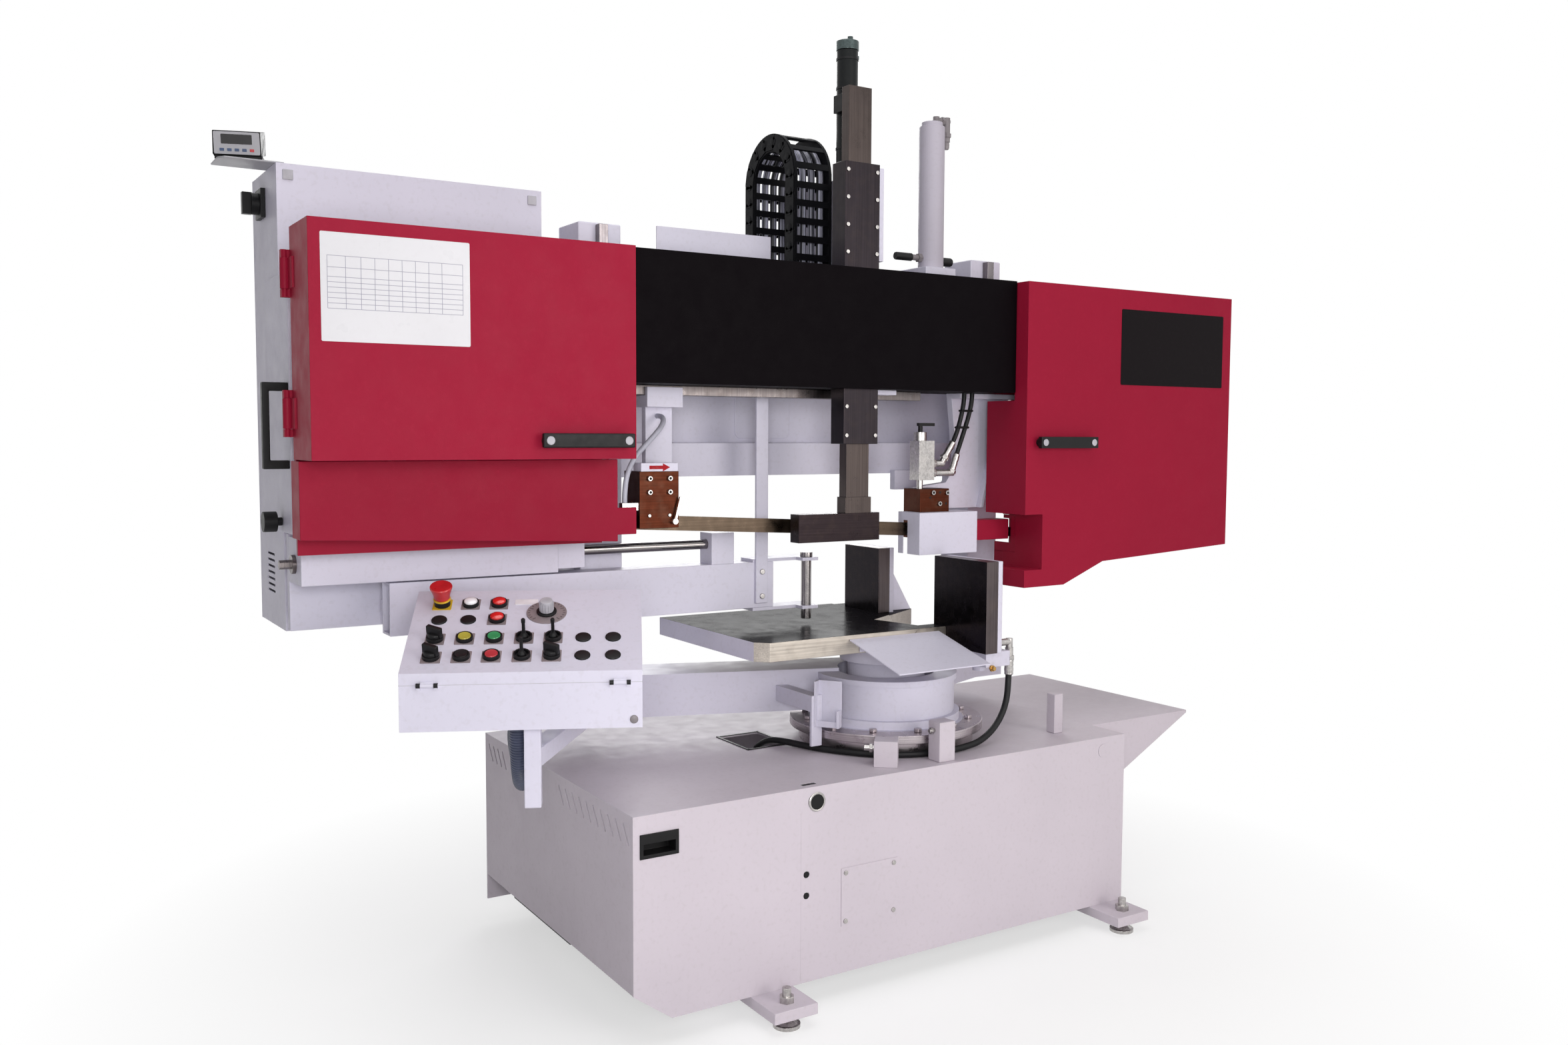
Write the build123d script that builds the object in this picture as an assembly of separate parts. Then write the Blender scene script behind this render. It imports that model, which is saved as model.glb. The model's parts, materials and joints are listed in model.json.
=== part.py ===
from build123d import *
import math
import os

os.makedirs("parts", exist_ok=True)

# Mitre band saw with a swivelling portal, in millimetres. It is drawn about the
# swivel axis, with X along the saw head and the blade in the plane Y = 0, and
# moved to the shared frame by AXIS_X and AXIS_Y when the nodes are written.
AXIS_X = 196.1
AXIS_Y = -97.5

# Clearances: a turning fit, a sliding guide, faces that pass, covers that part
RUN = 0.05
PLAY = 0.4
SLIP = 0.3
AIR = 2.0

# Base cabinet, chip wing and feet
BASE_X0 = -876.0
BASE_X1 = 548.0
BASE_Y0 = -314.0
BASE_Y1 = 567.0
BASE_TOP = 496.0
SKIRT_Z = 54.0
SIDE_CUT = 66.0
SHEET = 4.0
PULL_W = 80.0
PULL_H = 42.0
PULL_D = 34.0
COVER_W = 158.0
COVER_H = 134.0
COVER_SCREW_R = 3.0
PLUG_R = 14.0
WING_L = 379.0
WING_DEEP = 208.0
WING_INSET = 118.0
FOOT_OUT = 60.0
FOOT_INSET_L = 336.0
FOOT_INSET_R = 61.0
FOOT_PLATE = 25.0
FOOT_R = 30.0
FOOT_SCREW_R = 10.0
TANK_L = 440.0
TANK_D = 370.0
CABLE_HOLE = (-385.0, -265.0, 50.0, 205.0)

# Slewing ring, drum, table and fixed jaws
RING_BORE_R = 200.0
RING_WALL = 25.0
RING_H = 35.0
FLANGE_OUT = 24.0
FLANGE_H = 21.0
RING_BOLTS = 12
RING_BOLT_R = 6.0
DRUM_STEP = 24.0
DRUM_BORE_R = 126.0
PILLAR_R = 100.0
PILLAR_HEAD_H = 44.0
TABLE_RISE = 112.0
TABLE_T = 46.0
TABLE_X0 = -455.0
TABLE_X1 = 240.0
TABLE_Y0 = -118.0
TABLE_Y1 = 395.0
JAW_X = 100.0
JAW_T = 38.0
JAW_BACK_T = 14.0
JAW_H = 177.0
JAW_SEAT = 2.0
JAW_HANG = 51.0
JAW_OUT = 155.0
JAW_GAP_FRONT = 70.0
JAW_GAP_REAR = 170.0
JAW_REAR_L = 160.0
STOP_A_H = 62.0
STOP_B_H = 97.0
STOP_C_H = 104.0

# Portal: arms, columns, rails and cross frame
SLEW_STEP = 20.0
ARM_H = 106.0
ARM_W = 150.0
LEFT_ARM_DEG = 160.6
RIGHT_ARM_DEG = 22.0
SWIVEL_MAX = 30.0
COL_W = 110.0
COL_D = 120.0
COL_WALL = 10.0
COL_Y0 = 195.0
COL_RISE = 97.0
RAIL_W = 23.0
RAIL_H = 22.0
PLATE_T = 12.0
CROSS_H = 84.0

# Saw head
WHEEL_L_X = -1122.0
WHEEL_R_X = 737.0
WHEEL_R = 264.7
HUB_R = 52.0
WEB_T = 10.0
BAND_T = 1.1
FLAT = 0.04
TWIST_STEPS = 8
BAND_W = 34.0
SLOPE = -0.0552
BAND_MID_X = -605.0
BLADE_RISE = 280.5
SHAFT_R = 25.0
HEAD_RISE = 314.0
BEAM_H = 290.0
BEAM_WALL = 6.0
BEAM_Y0 = -110.0
BEAM_Y1 = 100.0
BEAM_OFF_L = 337.0
BEAM_OFF_R = 404.0
DOOR_OUT_L = 333.0
DOOR_OUT_R = 392.0
DOOR_Y0 = -152.0
DOOR_Y1 = 3.0
COVER_T = 3.0
TRAY_Y = 30.0
TRAY_T = 12.0
RIM = 8.0
TRAVEL = 215.0
KNUCKLE_R = 9.0
KNUCKLE_L = 60.0
PIN_R = 5.0
PIN_BLOCK = 16.0
HANDLE_L = 206.0
HANDLE_H = 30.0
HANDLE_GAP = 14.0

# Blade guides and guard
GUIDE_W = 99.0
GUIDE_H = 129.0
GUIDE_D = 80.0
GUIDE_OFF = 110.0
RIGHT_GUIDE_X = 131.0
BLADE_SLOT = 3.2
GUARD_L = 193.0
GUARD_Y0 = -60.0
GUARD_Y1 = 30.0

# Hold-down, lift cylinder and energy chain
HOLD_X = -153.0
HOLD_Y = -65.0
HOLD_W = 102.0
HOLD_T = 55.0
SCREW_HEAD = 3.0
POST_W = 67.0
POST_T = 30.0
BARREL_R = 26.0
BARREL_ROD_R = 10.0
HOLD_TRAVEL = 200.0
LIFT_X = 252.0
LIFT_Y = 150.0
LIFT_R = 35.0
LIFT_ROD_R = 18.0
CHAIN_W = 112.0
CHAIN_X = -166.0
LINK_H = 45.0
LINK = 45.0
CABLE_R = 9.0
LINK_SIDE = 8.0
LINK_BAR_T = 5.0
TROUGH_T = 3.0

# Vice
VICE_W = 60.0
VICE_H = 116.0
VICE_RAIL_D = 12.0
VICE_RAIL_H = 32.0
VICE_ROD_R = 12.0
VICE_BORE_R = 26.0
JAWBAR_X = -177.0
JAWBAR_R = 13.0
TONGUE_T = 8.0

# Electrical cabinet
CAB_W = 600.0
CAB_D = 250.0
CAB_H = 1010.0
CAB_SHEET = 3.0
CAB_DOOR_T = 15.0
SWITCH_STEM_R = 6.0

# Console
CON_X = -1133.0
CON_Y = -374.0
CON_DEG = -25.5
CON_W = 450.0
CON_D = 254.0
CON_FRONT = 107.0
CON_BACK = 230.0
LID_LIP = 17.0
CON_SHEET = 3.0
POST_SIZE = 32.0
POST_SET_BACK = 33.0
COLS = (53.0, 109.0, 165.0, 222.0, 278.0, 336.0, 394.0)
ROWS = (51.0, 111.0, 177.0, 232.0)
DIAL_AT = (261.0, 200.0)
HOLE_R = 11.0
BEZEL = 30.0
COLLAR_R = 14.5
COLLAR_H = 8.0
CAP_R = 10.0
STEM_R = 6.0
DIAL_STEM_R = 5.0
TOGGLE_BORE_R = 9.0
ROCKER_R = 7.0
ROCKER_L = 10.0
LID_PIN_R = 2.2
LID_KNUCKLE_R = 4.0

# Hoses
HOSE_R = 8.0
RING_PATH = 243.0
TUBE_R = 6.0
CONDUIT_R = 18.0
CONDUIT_ROOT_R = 16.4
CONDUIT_BORE_R = 14.0
RIBS = 150

# Heights and places that follow from the sizes above
flange_z0 = BASE_TOP + RING_H
flange_z1 = flange_z0 + FLANGE_H
ring_r = RING_BORE_R + RING_WALL
flange_r = ring_r + FLANGE_OUT
drum_r = RING_BORE_R - DRUM_STEP
arm_z0 = flange_z1 + SLEW_STEP
arm_z1 = arm_z0 + ARM_H
table_top = arm_z1 + TABLE_RISE
table_z0 = table_top - TABLE_T
jaw_top = table_top + JAW_H
seat_z = table_top - JAW_SEAT
jaw_back_x = JAW_X + JAW_T + JAW_BACK_T
jaw_front_y = TABLE_Y0 - JAW_OUT
jaw_rear_y = JAW_GAP_REAR + JAW_REAR_L
band_r = WHEEL_R + SLIP


def band_z(x):
    """Height of the cutting run of the band at x."""
    return table_top + BLADE_RISE + SLOPE * (x - BAND_MID_X)


left_z = band_z(WHEEL_L_X) + band_r
right_z = band_z(WHEEL_R_X) + band_r
head_top = left_z + HEAD_RISE
beam_z0 = head_top - BEAM_H
beam_x0 = WHEEL_L_X + BEAM_OFF_L
beam_x1 = WHEEL_R_X - BEAM_OFF_R
left_x0 = WHEEL_L_X - DOOR_OUT_L
right_x1 = WHEEL_R_X + DOOR_OUT_R
tray_y1 = TRAY_Y + TRAY_T
col_l_x = beam_x0 + 73
col_r_x = beam_x1 + 157
col_top = head_top + COL_RISE
col_y1 = COL_Y0 + COL_D
plate_y0 = col_y1 - 30
plate_y1 = plate_y0 + PLATE_T
col_l_in = col_l_x + COL_W / 2
col_l_out = col_l_x - COL_W / 2
col_r_in = col_r_x - COL_W / 2
pad_y0 = COL_Y0 - 5

nodes = {}


def box(x0, x1, y0, y1, z0, z1):
    return Pos((x0 + x1) / 2, (y0 + y1) / 2, (z0 + z1) / 2) * Box(x1 - x0, y1 - y0, z1 - z0)


def rod_z(x, y, r, z0, z1):
    return Pos(x, y, (z0 + z1) / 2) * Cylinder(r, z1 - z0)


def rod_y(x, z, r, y0, y1):
    return Pos(x, (y0 + y1) / 2, z) * Rot(90, 0, 0) * Cylinder(r, y1 - y0)


def rod_x(y, z, r, x0, x1):
    return Pos((x0 + x1) / 2, y, z) * Rot(0, 90, 0) * Cylinder(r, x1 - x0)


def prism_y(points, y0, y1):
    """Extrudes an outline of (x, z) points from y0 to y1."""
    face = make_face(Polyline([(x, y0, z) for x, z in points], close=True))
    return Solid.extrude(face.face(), Vector(0, y1 - y0, 0))


def prism_z(points, z0, z1):
    """Extrudes an outline of (x, y) points from z0 to z1."""
    face = make_face(Polyline([(x, y, z0) for x, y in points], close=True))
    return Solid.extrude(face.face(), Vector(0, 0, z1 - z0))


def prism_x(points, x0, x1):
    """Extrudes an outline of (y, z) points from x0 to x1."""
    face = make_face(Polyline([(x0, y, z) for y, z in points], close=True))
    return Solid.extrude(face.face(), Vector(x1 - x0, 0, 0))


def hexagon(across, height):
    """A hexagonal prism standing on the origin."""
    return extrude(RegularPolygon(across / math.sqrt(3), 6), height)


def solids(*shapes):
    """Gathers separate solids into one node."""
    out = []
    for s in shapes:
        out.extend(s.solids())
    return Compound(children=out)


def turned(x, y, degrees):
    """A plan point turned about the swivel axis."""
    a = math.radians(degrees)
    return x * math.cos(a) - y * math.sin(a), x * math.sin(a) + y * math.cos(a)


def hinges(x, y, heights, leaf, block):
    """Knuckles for a door and pins in blocks for its frame, all on one upright axis.

    leaf and block are (x0, x1, y0, y1) plan boxes beside the axis."""
    knuckles = []
    pins = []
    half = KNUCKLE_L / 2
    for z in heights:
        knuckle = rod_z(x, y, KNUCKLE_R, z - half, z + half) + box(*leaf, z - half, z + half)
        knuckles.append(knuckle - rod_z(x, y, PIN_R + RUN, z - half - 1, z + half + 1))
        pin = rod_z(x, y, PIN_R, z - half - PIN_BLOCK, z + half + PIN_BLOCK)
        pin += box(*block, z - half - PIN_BLOCK, z - half - PLAY)
        pin += box(*block, z + half + PLAY, z + half + PIN_BLOCK)
        pins.append(pin)
    return knuckles, pins


# Base cabinet: an open-bottomed sheet box with a pan under the hydraulic unit
tank_x0 = BASE_X0 + 56
tank_x1 = tank_x0 + TANK_L
tank_y1 = BASE_Y1 - 47
tank_y0 = tank_y1 - TANK_D
tank_z0 = SKIRT_Z + SHEET
tank_z1 = BASE_TOP - 96
base = box(BASE_X0, BASE_X1, BASE_Y0, BASE_Y1, SKIRT_Z, BASE_TOP)
base -= box(BASE_X0 + SHEET, BASE_X1 - SHEET, BASE_Y0 + SHEET, BASE_Y1 - SHEET, 0, BASE_TOP - SHEET)
base -= box(BASE_X0 - 1, BASE_X0 + SHEET, BASE_Y0 + SHEET, BASE_Y1 - SHEET, 0, SKIRT_Z + SIDE_CUT)
base -= prism_y([(BASE_X0 - 1, 0), (BASE_X0 + 90, 0), (BASE_X0 + 90, SKIRT_Z),
                 (BASE_X0 - 1, SKIRT_Z + SIDE_CUT)], BASE_Y0 - 1, BASE_Y0 + SHEET + 1)
base += box(tank_x0 + 100, tank_x1 - 100, BASE_Y0 + SHEET, BASE_Y1 - SHEET, SKIRT_Z, tank_z0)
slit_y = [BASE_Y0 + 34 + 38 * k for k in range(10)] + [BASE_Y0 + 744 + 32 * k for k in range(4)]
for y in slit_y:
    base -= Pos(BASE_X0, y, BASE_TOP - 44) * Rot(-35, 0, 0) * Box(3 * SHEET, 6, 50)
pull_x0 = BASE_X0 + 20
pull_x1 = pull_x0 + PULL_W
pull_z1 = BASE_TOP - 44
pull_z0 = pull_z1 - PULL_H
wall_y0 = BASE_Y0 - 1
wall_y1 = BASE_Y0 + SHEET + 1
base -= box(pull_x0, pull_x1, wall_y0, wall_y1, pull_z0, pull_z1)
base -= rod_y(BASE_X0 + 447, BASE_TOP - 34, 18, wall_y0, wall_y1)
for dz in (196, 244):
    base -= rod_y(BASE_X0 + 425, BASE_TOP - dz, 8, wall_y0, wall_y1)
base -= box(BASE_X0 + 430, BASE_X0 + 460, BASE_Y0 + 18, BASE_Y0 + 34, BASE_TOP - SHEET - 1, BASE_TOP + 1)
base -= box(*CABLE_HOLE, BASE_TOP - SHEET - 1, BASE_TOP + 1)
cover_x = BASE_X0 + 598
cover_z = BASE_TOP - 266
plug_x = BASE_X1 - 79
plug_z = BASE_TOP - 35
base -= rod_y(plug_x, plug_z, PLUG_R, wall_y0, wall_y1)
cover = box(cover_x - COVER_W / 2, cover_x + COVER_W / 2, BASE_Y0 - 2, BASE_Y0,
            cover_z - COVER_H / 2, cover_z + COVER_H / 2)
cover_screws = []
for sx in (-1, 1):
    for sz in (-1, 1):
        x = cover_x + sx * (COVER_W / 2 - 11)
        z = cover_z + sz * (COVER_H / 2 - 11)
        hole = rod_y(x, z, COVER_SCREW_R + RUN, BASE_Y0 - 3, wall_y1)
        base -= hole
        cover -= hole
        cover_screws.append(rod_y(x, z, COVER_SCREW_R + 2.5, BASE_Y0 - 5, BASE_Y0 - 2)
                            + rod_y(x, z, COVER_SCREW_R, BASE_Y0 - 2, BASE_Y0 + 8))
nodes["base_cabinet"] = base
nodes["access_plate"] = cover
nodes["access_screws"] = solids(*cover_screws)
nodes["knockout_plug"] = (rod_y(plug_x, plug_z, PLUG_R, BASE_Y0, BASE_Y0 + SHEET)
                          + rod_y(plug_x, plug_z, PLUG_R + 3, BASE_Y0 - 2, BASE_Y0))

pull = box(pull_x0 - 5, pull_x1 + 5, BASE_Y0 - 3, BASE_Y0, pull_z0 - 5, pull_z1 + 5)
pull += box(pull_x0, pull_x1, BASE_Y0, BASE_Y0 + PULL_D, pull_z0, pull_z1)
pull -= box(pull_x0 + 3, pull_x1 - 3, BASE_Y0 - 4, BASE_Y0 + PULL_D - 3, pull_z0 + 3, pull_z1 - 16)
nodes["recessed_pull"] = pull

brackets = []
feet = []
for x in (BASE_X0 + FOOT_INSET_L, BASE_X1 - FOOT_INSET_R):
    for y, inward in ((BASE_Y0 - FOOT_OUT, 1), (BASE_Y1 + FOOT_OUT, -1)):
        ends = sorted((y - inward * 40, y + inward * (FOOT_OUT + 90)))
        plate = box(x - 55, x + 55, ends[0], ends[1], SKIRT_Z - FOOT_PLATE, SKIRT_Z)
        brackets.append(plate - rod_z(x, y, FOOT_SCREW_R + 0.5, 0, SKIRT_Z + 1))
        foot = rod_z(x, y, FOOT_R, 0, 8) + Pos(x, y, 13) * Cone(FOOT_R - 6, FOOT_SCREW_R + 3, 10)
        foot += rod_z(x, y, FOOT_SCREW_R, 14, SKIRT_Z + 32)
        feet.append(foot + Pos(x, y, SKIRT_Z) * hexagon(3 * FOOT_SCREW_R, 14))
nodes["foot_brackets"] = solids(*brackets)
nodes["levelling_feet"] = solids(*feet)

wing_x1 = BASE_X1 + WING_L
wing_y0 = BASE_Y0 + WING_INSET
wing_y1 = BASE_Y1 - WING_INSET
wing = prism_y([(BASE_X1, BASE_TOP), (wing_x1, BASE_TOP), (wing_x1, BASE_TOP - 8),
                (BASE_X1, BASE_TOP - WING_DEEP)], wing_y0, wing_y1)
wing -= prism_y([(BASE_X1 - 1, BASE_TOP - SHEET), (wing_x1 - 14, BASE_TOP - SHEET),
                 (BASE_X1 - 1, BASE_TOP - WING_DEEP + 8)], wing_y0 + SHEET, wing_y1 - SHEET)
nodes["chip_wing"] = wing

manifold_z1 = BASE_TOP - 76
tank = box(tank_x0, tank_x1, tank_y0, tank_y1, tank_z0, tank_z1)
tank += rod_z(tank_x0 + 200, tank_y0 + 180, 80, tank_z1, BASE_TOP - 16)
tank += box(tank_x1 - 80, tank_x1 - 20, tank_y0 + 50, tank_y0 + 150, tank_z1, tank_z1 + 50)
tank += box(tank_x1 - 20, -296, tank_y0 - 24, tank_y0 + 30, manifold_z1 - 60, manifold_z1)
nodes["hydraulic_unit"] = tank

# Slewing ring, fixed half, and the pillar that carries the table through it
ring = rod_z(0, 0, ring_r, BASE_TOP, flange_z0) + rod_z(0, 0, flange_r, flange_z0, flange_z1)
ring -= rod_z(0, 0, RING_BORE_R, BASE_TOP - 1, flange_z1 + 1)
bolts = []
for k in range(RING_BOLTS):
    a = math.radians(15 + 360 / RING_BOLTS * k)
    bx = (RING_BORE_R + RING_WALL / 2) * math.cos(a)
    by = (RING_BORE_R + RING_WALL / 2) * math.sin(a)
    ring -= rod_z(bx, by, RING_BOLT_R, BASE_TOP + 6, flange_z1 + 1)
    bolts.append(Pos(bx, by, flange_z1) * hexagon(3 * RING_BOLT_R, 9)
                 + rod_z(bx, by, RING_BOLT_R, BASE_TOP + 8, flange_z1))
nodes["slew_ring"] = ring
nodes["slew_bolts"] = solids(*bolts)
nodes["centre_pillar"] = (rod_z(0, 0, PILLAR_R, BASE_TOP, table_z0)
                          + rod_z(0, 0, PILLAR_R + 20, table_z0 - PILLAR_HEAD_H, table_z0))

# Table with a lower seat for the jaws, notched for the blade guard up to the largest mitre
guard_x0 = RIGHT_GUIDE_X - 73
guard_x1 = guard_x0 + GUARD_L
notch_x, notch_y = turned(guard_x0 - 10, GUARD_Y1 + 25, SWIVEL_MAX)
notch_end = notch_y + (TABLE_X1 + 1 - notch_x) * math.tan(math.radians(SWIVEL_MAX))
table = prism_z([(TABLE_X0, TABLE_Y0 + 28), (TABLE_X0 + 28, TABLE_Y0), (TABLE_X1, TABLE_Y0),
                 (TABLE_X1, TABLE_Y1), (TABLE_X0, TABLE_Y1)], table_z0, table_top)
table -= box(JAW_X - SLIP, TABLE_X1 + 1, TABLE_Y0 - 1, TABLE_Y1 + 1, seat_z, table_top + 1)
table -= prism_z([(TABLE_X1 + 1, -JAW_GAP_FRONT), (guard_x0 - 10, -JAW_GAP_FRONT), (notch_x, notch_y),
                  (TABLE_X1 + 1, notch_end)], table_z0 - 1, table_top + 1)
nodes["table"] = table

hang_z = table_top - JAW_HANG
front_profile = [(jaw_front_y, hang_z), (TABLE_Y0 - SLIP, hang_z), (TABLE_Y0 - SLIP, seat_z),
                 (-JAW_GAP_FRONT, seat_z), (-JAW_GAP_FRONT, jaw_top), (jaw_front_y, jaw_top)]


def jaw_pair(x0, x1):
    """Front and rear plates of the fixed jaw between two faces."""
    return prism_x(front_profile, x0, x1), box(x0, x1, JAW_GAP_REAR, jaw_rear_y, seat_z, jaw_top)


def jaw_rib(y):
    points = [(jaw_back_x, seat_z), (TABLE_X1 - 4, seat_z), (jaw_back_x, jaw_top - 40)]
    return prism_y(points, y - 8, y + 8)


nodes["fixed_jaws"] = solids(*jaw_pair(JAW_X, JAW_X + JAW_T))
front_back, rear_back = jaw_pair(JAW_X + JAW_T, jaw_back_x)
front_back += jaw_rib((TABLE_Y0 - JAW_GAP_FRONT) / 2)
rear_back = rear_back + jaw_rib(JAW_GAP_REAR + 38) + jaw_rib(jaw_rear_y - 25)
nodes["jaw_backs"] = solids(front_back, rear_back)

cast_x0 = jaw_back_x + SLIP
cast_x1 = TABLE_X1 - 8
cast_y0 = TABLE_Y0 - 97
cast_z0 = table_top - 98
notch_z = table_top - 60
fit_x = cast_x1 - 21
fit_y = cast_y0 + 23
casting = box(cast_x0, cast_x1, cast_y0, TABLE_Y0, cast_z0, table_top - 20)
casting -= box(cast_x1 - 42, cast_x1 + 1, cast_y0 - 1, cast_y0 + 45, notch_z, table_top)
casting += rod_z(cast_x0 + 24, cast_y0 + 55, 16, cast_z0 - 16, cast_z0)
nodes["jaw_casting"] = casting
fitting = rod_z(fit_x, fit_y, HOSE_R + 1, notch_z, notch_z + 26)
fitting += rod_x(fit_y, notch_z + 18, HOSE_R + 1, fit_x, fit_x + 39)
fitting += rod_z(fit_x + 39, fit_y, HOSE_R + 1, notch_z - 30, notch_z + 27)
fitting += rod_z(fit_x + 39, fit_y, HOSE_R + 2.5, notch_z - 30, notch_z + 4)
nodes["hose_fitting"] = fitting

chip_x1 = JAW_X - 23
chip_x0 = chip_x1 - 277
chip = prism_x([(TABLE_Y0 - 1, table_top - 13), (TABLE_Y0 - 1, table_top - 10),
                (TABLE_Y0 - 200, table_top - 64), (TABLE_Y0 - 200, table_top - 67)], chip_x0, chip_x1)
chip += box(chip_x0 + 30, chip_x1 - 30, TABLE_Y0 - 3, TABLE_Y0, table_z0 + 3, table_top - 12)
nodes["chip_plate"] = chip

stop_a_at = Pos(-0.594 * (flange_r + 54), -0.804 * (flange_r + 54), BASE_TOP) * Rot(0, 0, -40)
stop_a = stop_a_at * (box(-28, 28, -28, 28, 0, STOP_A_H) + rod_x(0, STOP_A_H - 22, 7, -51, -25))
stop_b_y = -flange_r - 5
stop_b = box(-62, -14, stop_b_y - 44, stop_b_y, BASE_TOP, BASE_TOP + STOP_B_H)
stop_c = box(BASE_X1 - 160, BASE_X1 - 130, BASE_Y0 + 95, BASE_Y0 + 125, BASE_TOP, BASE_TOP + STOP_C_H)
nodes["mitre_stops"] = solids(stop_a, stop_b, stop_c)

# Portal: inner ring, drum with its stop lug, and two arms with pads for the columns
inner = rod_z(0, 0, RING_BORE_R - RUN, BASE_TOP + 1, flange_z1)
inner += rod_z(0, 0, drum_r + 14, flange_z1, arm_z0)
nodes["slew_inner"] = inner - rod_z(0, 0, DRUM_BORE_R, BASE_TOP, arm_z0 + 1)


def arm(degrees, side, column_x):
    """A straight arm from the drum to a column's pad; its front face points at the swivel axis."""
    f = Vector(math.cos(math.radians(degrees)), math.sin(math.radians(degrees)))
    across = Vector(-f.Y, f.X) * side * ARM_W
    length = (abs(column_x) + 45) / abs(f.X)
    corners = [f * 60, f * length, f * length + across, f * 60 + across]
    return prism_z([(p.X, p.Y) for p in corners], arm_z0, arm_z1)


swivel = rod_z(0, 0, drum_r, arm_z0, arm_z1 - 8) + rod_z(0, 0, drum_r + 6, arm_z1 - 22, arm_z1 - 8)
swivel = swivel + arm(LEFT_ARM_DEG, -1, col_l_x) + arm(RIGHT_ARM_DEG, 1, col_r_x)
for x in (col_l_x, col_r_x):
    swivel += box(x - 78, x + 78, pad_y0, col_y1 + 110, arm_z0, arm_z1)
lug_x1 = 3 - flange_r
lug_x0 = lug_x1 - 30
swivel += box(lug_x0, lug_x1, -60, 110, arm_z0 + 28, arm_z0 + 68)
swivel += box(lug_x0, lug_x1, -68, -60, BASE_TOP + 19, arm_z0 + 68)
nodes["swivel_frame"] = swivel - rod_z(0, 0, DRUM_BORE_R, arm_z0 - 1, arm_z1 + 1)

carriage_z0 = beam_z0 + 12
carriage_z1 = head_top - 14
cols = []
rails = []
for x in (col_l_x, col_r_x):
    col = box(x - COL_W / 2, x + COL_W / 2, COL_Y0, col_y1, arm_z1, col_top)
    cols.append(col - box(x - COL_W / 2 + COL_WALL, x + COL_W / 2 - COL_WALL, COL_Y0 + COL_WALL,
                          col_y1 - COL_WALL, arm_z1 + COL_WALL, col_top + 1))
    rails.append(box(x - RAIL_W / 2, x + RAIL_W / 2, COL_Y0 - RAIL_H, COL_Y0, carriage_z0 - TRAVEL - 5,
                     col_top - 5))
nodes["columns"] = solids(*cols)
nodes["linear_rails"] = solids(*rails)

cross_z0 = head_top - 424
cross_y0 = plate_y0 - 60
cross = box(col_l_in, col_r_in, plate_y0, plate_y1, cross_z0, head_top + 60)
cross += box(col_l_in, col_r_in, cross_y0, plate_y1, cross_z0 - CROSS_H, cross_z0)
cross -= box(col_l_in - 1, col_r_in + 1, cross_y0 + 8, plate_y1 - 8, cross_z0 - CROSS_H + 8,
             cross_z0 - 8)
nodes["cross_frame"] = cross
cover_at = Pos(-205, plate_y0 - 1.5, head_top - 318) * Rot(90, 0, 0)
nodes["cross_cover"] = cover_at * extrude(RectangleRounded(170, 190, 18), 1.5, both=True)
nodes["limit_box"] = box(177, 256, cross_y0 - 22, cross_y0, cross_z0 - CROSS_H - 45,
                         cross_z0 - CROSS_H + 9)

# Hold-down: a guide housing on the portal with a sliding flat post and its cylinder
hold_x0 = HOLD_X - HOLD_W / 2
hold_x1 = HOLD_X + HOLD_W / 2
hold_y0 = HOLD_Y - HOLD_T / 2
hold_y1 = HOLD_Y + HOLD_T / 2
hold_z0 = beam_z0 - 134
hold_z1 = head_top + 252
post_x0 = HOLD_X - POST_W / 2
post_x1 = HOLD_X + POST_W / 2
post_y0 = HOLD_Y - POST_T / 2
post_y1 = HOLD_Y + POST_T / 2
post_top = hold_z1 + 182
foot_z0 = table_top + 227
hold = box(hold_x0, hold_x1, hold_y0, hold_y1, hold_z0, hold_z1)
hold -= box(post_x0 - PLAY, post_x1 + PLAY, post_y0 - PLAY, post_y1 + PLAY, hold_z0 - 1, hold_z1 + 1)
saddle_x0 = post_x0 + 4
saddle_x1 = post_x1 - 4
saddle_z0 = post_top - 54
slot_z0 = saddle_z0 - HOLD_TRAVEL - PLAY
hold -= box(saddle_x0 - PLAY, saddle_x1 + PLAY, post_y1, hold_y1 + 1, slot_z0, hold_z1 + 1)
nodes["hold_housing"] = hold
hold_screws = []
for x in (hold_x0 + 8, hold_x1 - 8):
    for z in (hold_z0 + 21, hold_z0 + 91, hold_z1 - 215, hold_z1 - 150, hold_z1 - 85, hold_z1 - 20):
        hold_screws.append(rod_y(x, z, 5, hold_y0 - SCREW_HEAD, hold_y0))
nodes["hold_screws"] = solids(*hold_screws)
barrel_x = HOLD_X + 11
barrel_y = post_y1 + BARREL_R + 16
bracket_z0 = head_top + 22
bracket = box(hold_x1, hold_x1 + 20, hold_y0 + 10, plate_y0, bracket_z0, hold_z1 - 5)
bracket += box(hold_x1 + 10, hold_x1 + 20, plate_y0 - 100, plate_y0, head_top - 40, bracket_z0)
bracket += box(barrel_x - 22, hold_x1, barrel_y - 18, barrel_y + 22, bracket_z0, bracket_z0 + 12)
nodes["hold_bracket"] = bracket
nodes["hold_rod"] = rod_z(barrel_x, barrel_y, BARREL_ROD_R, bracket_z0 + 12, hold_z1 + 70)

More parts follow.
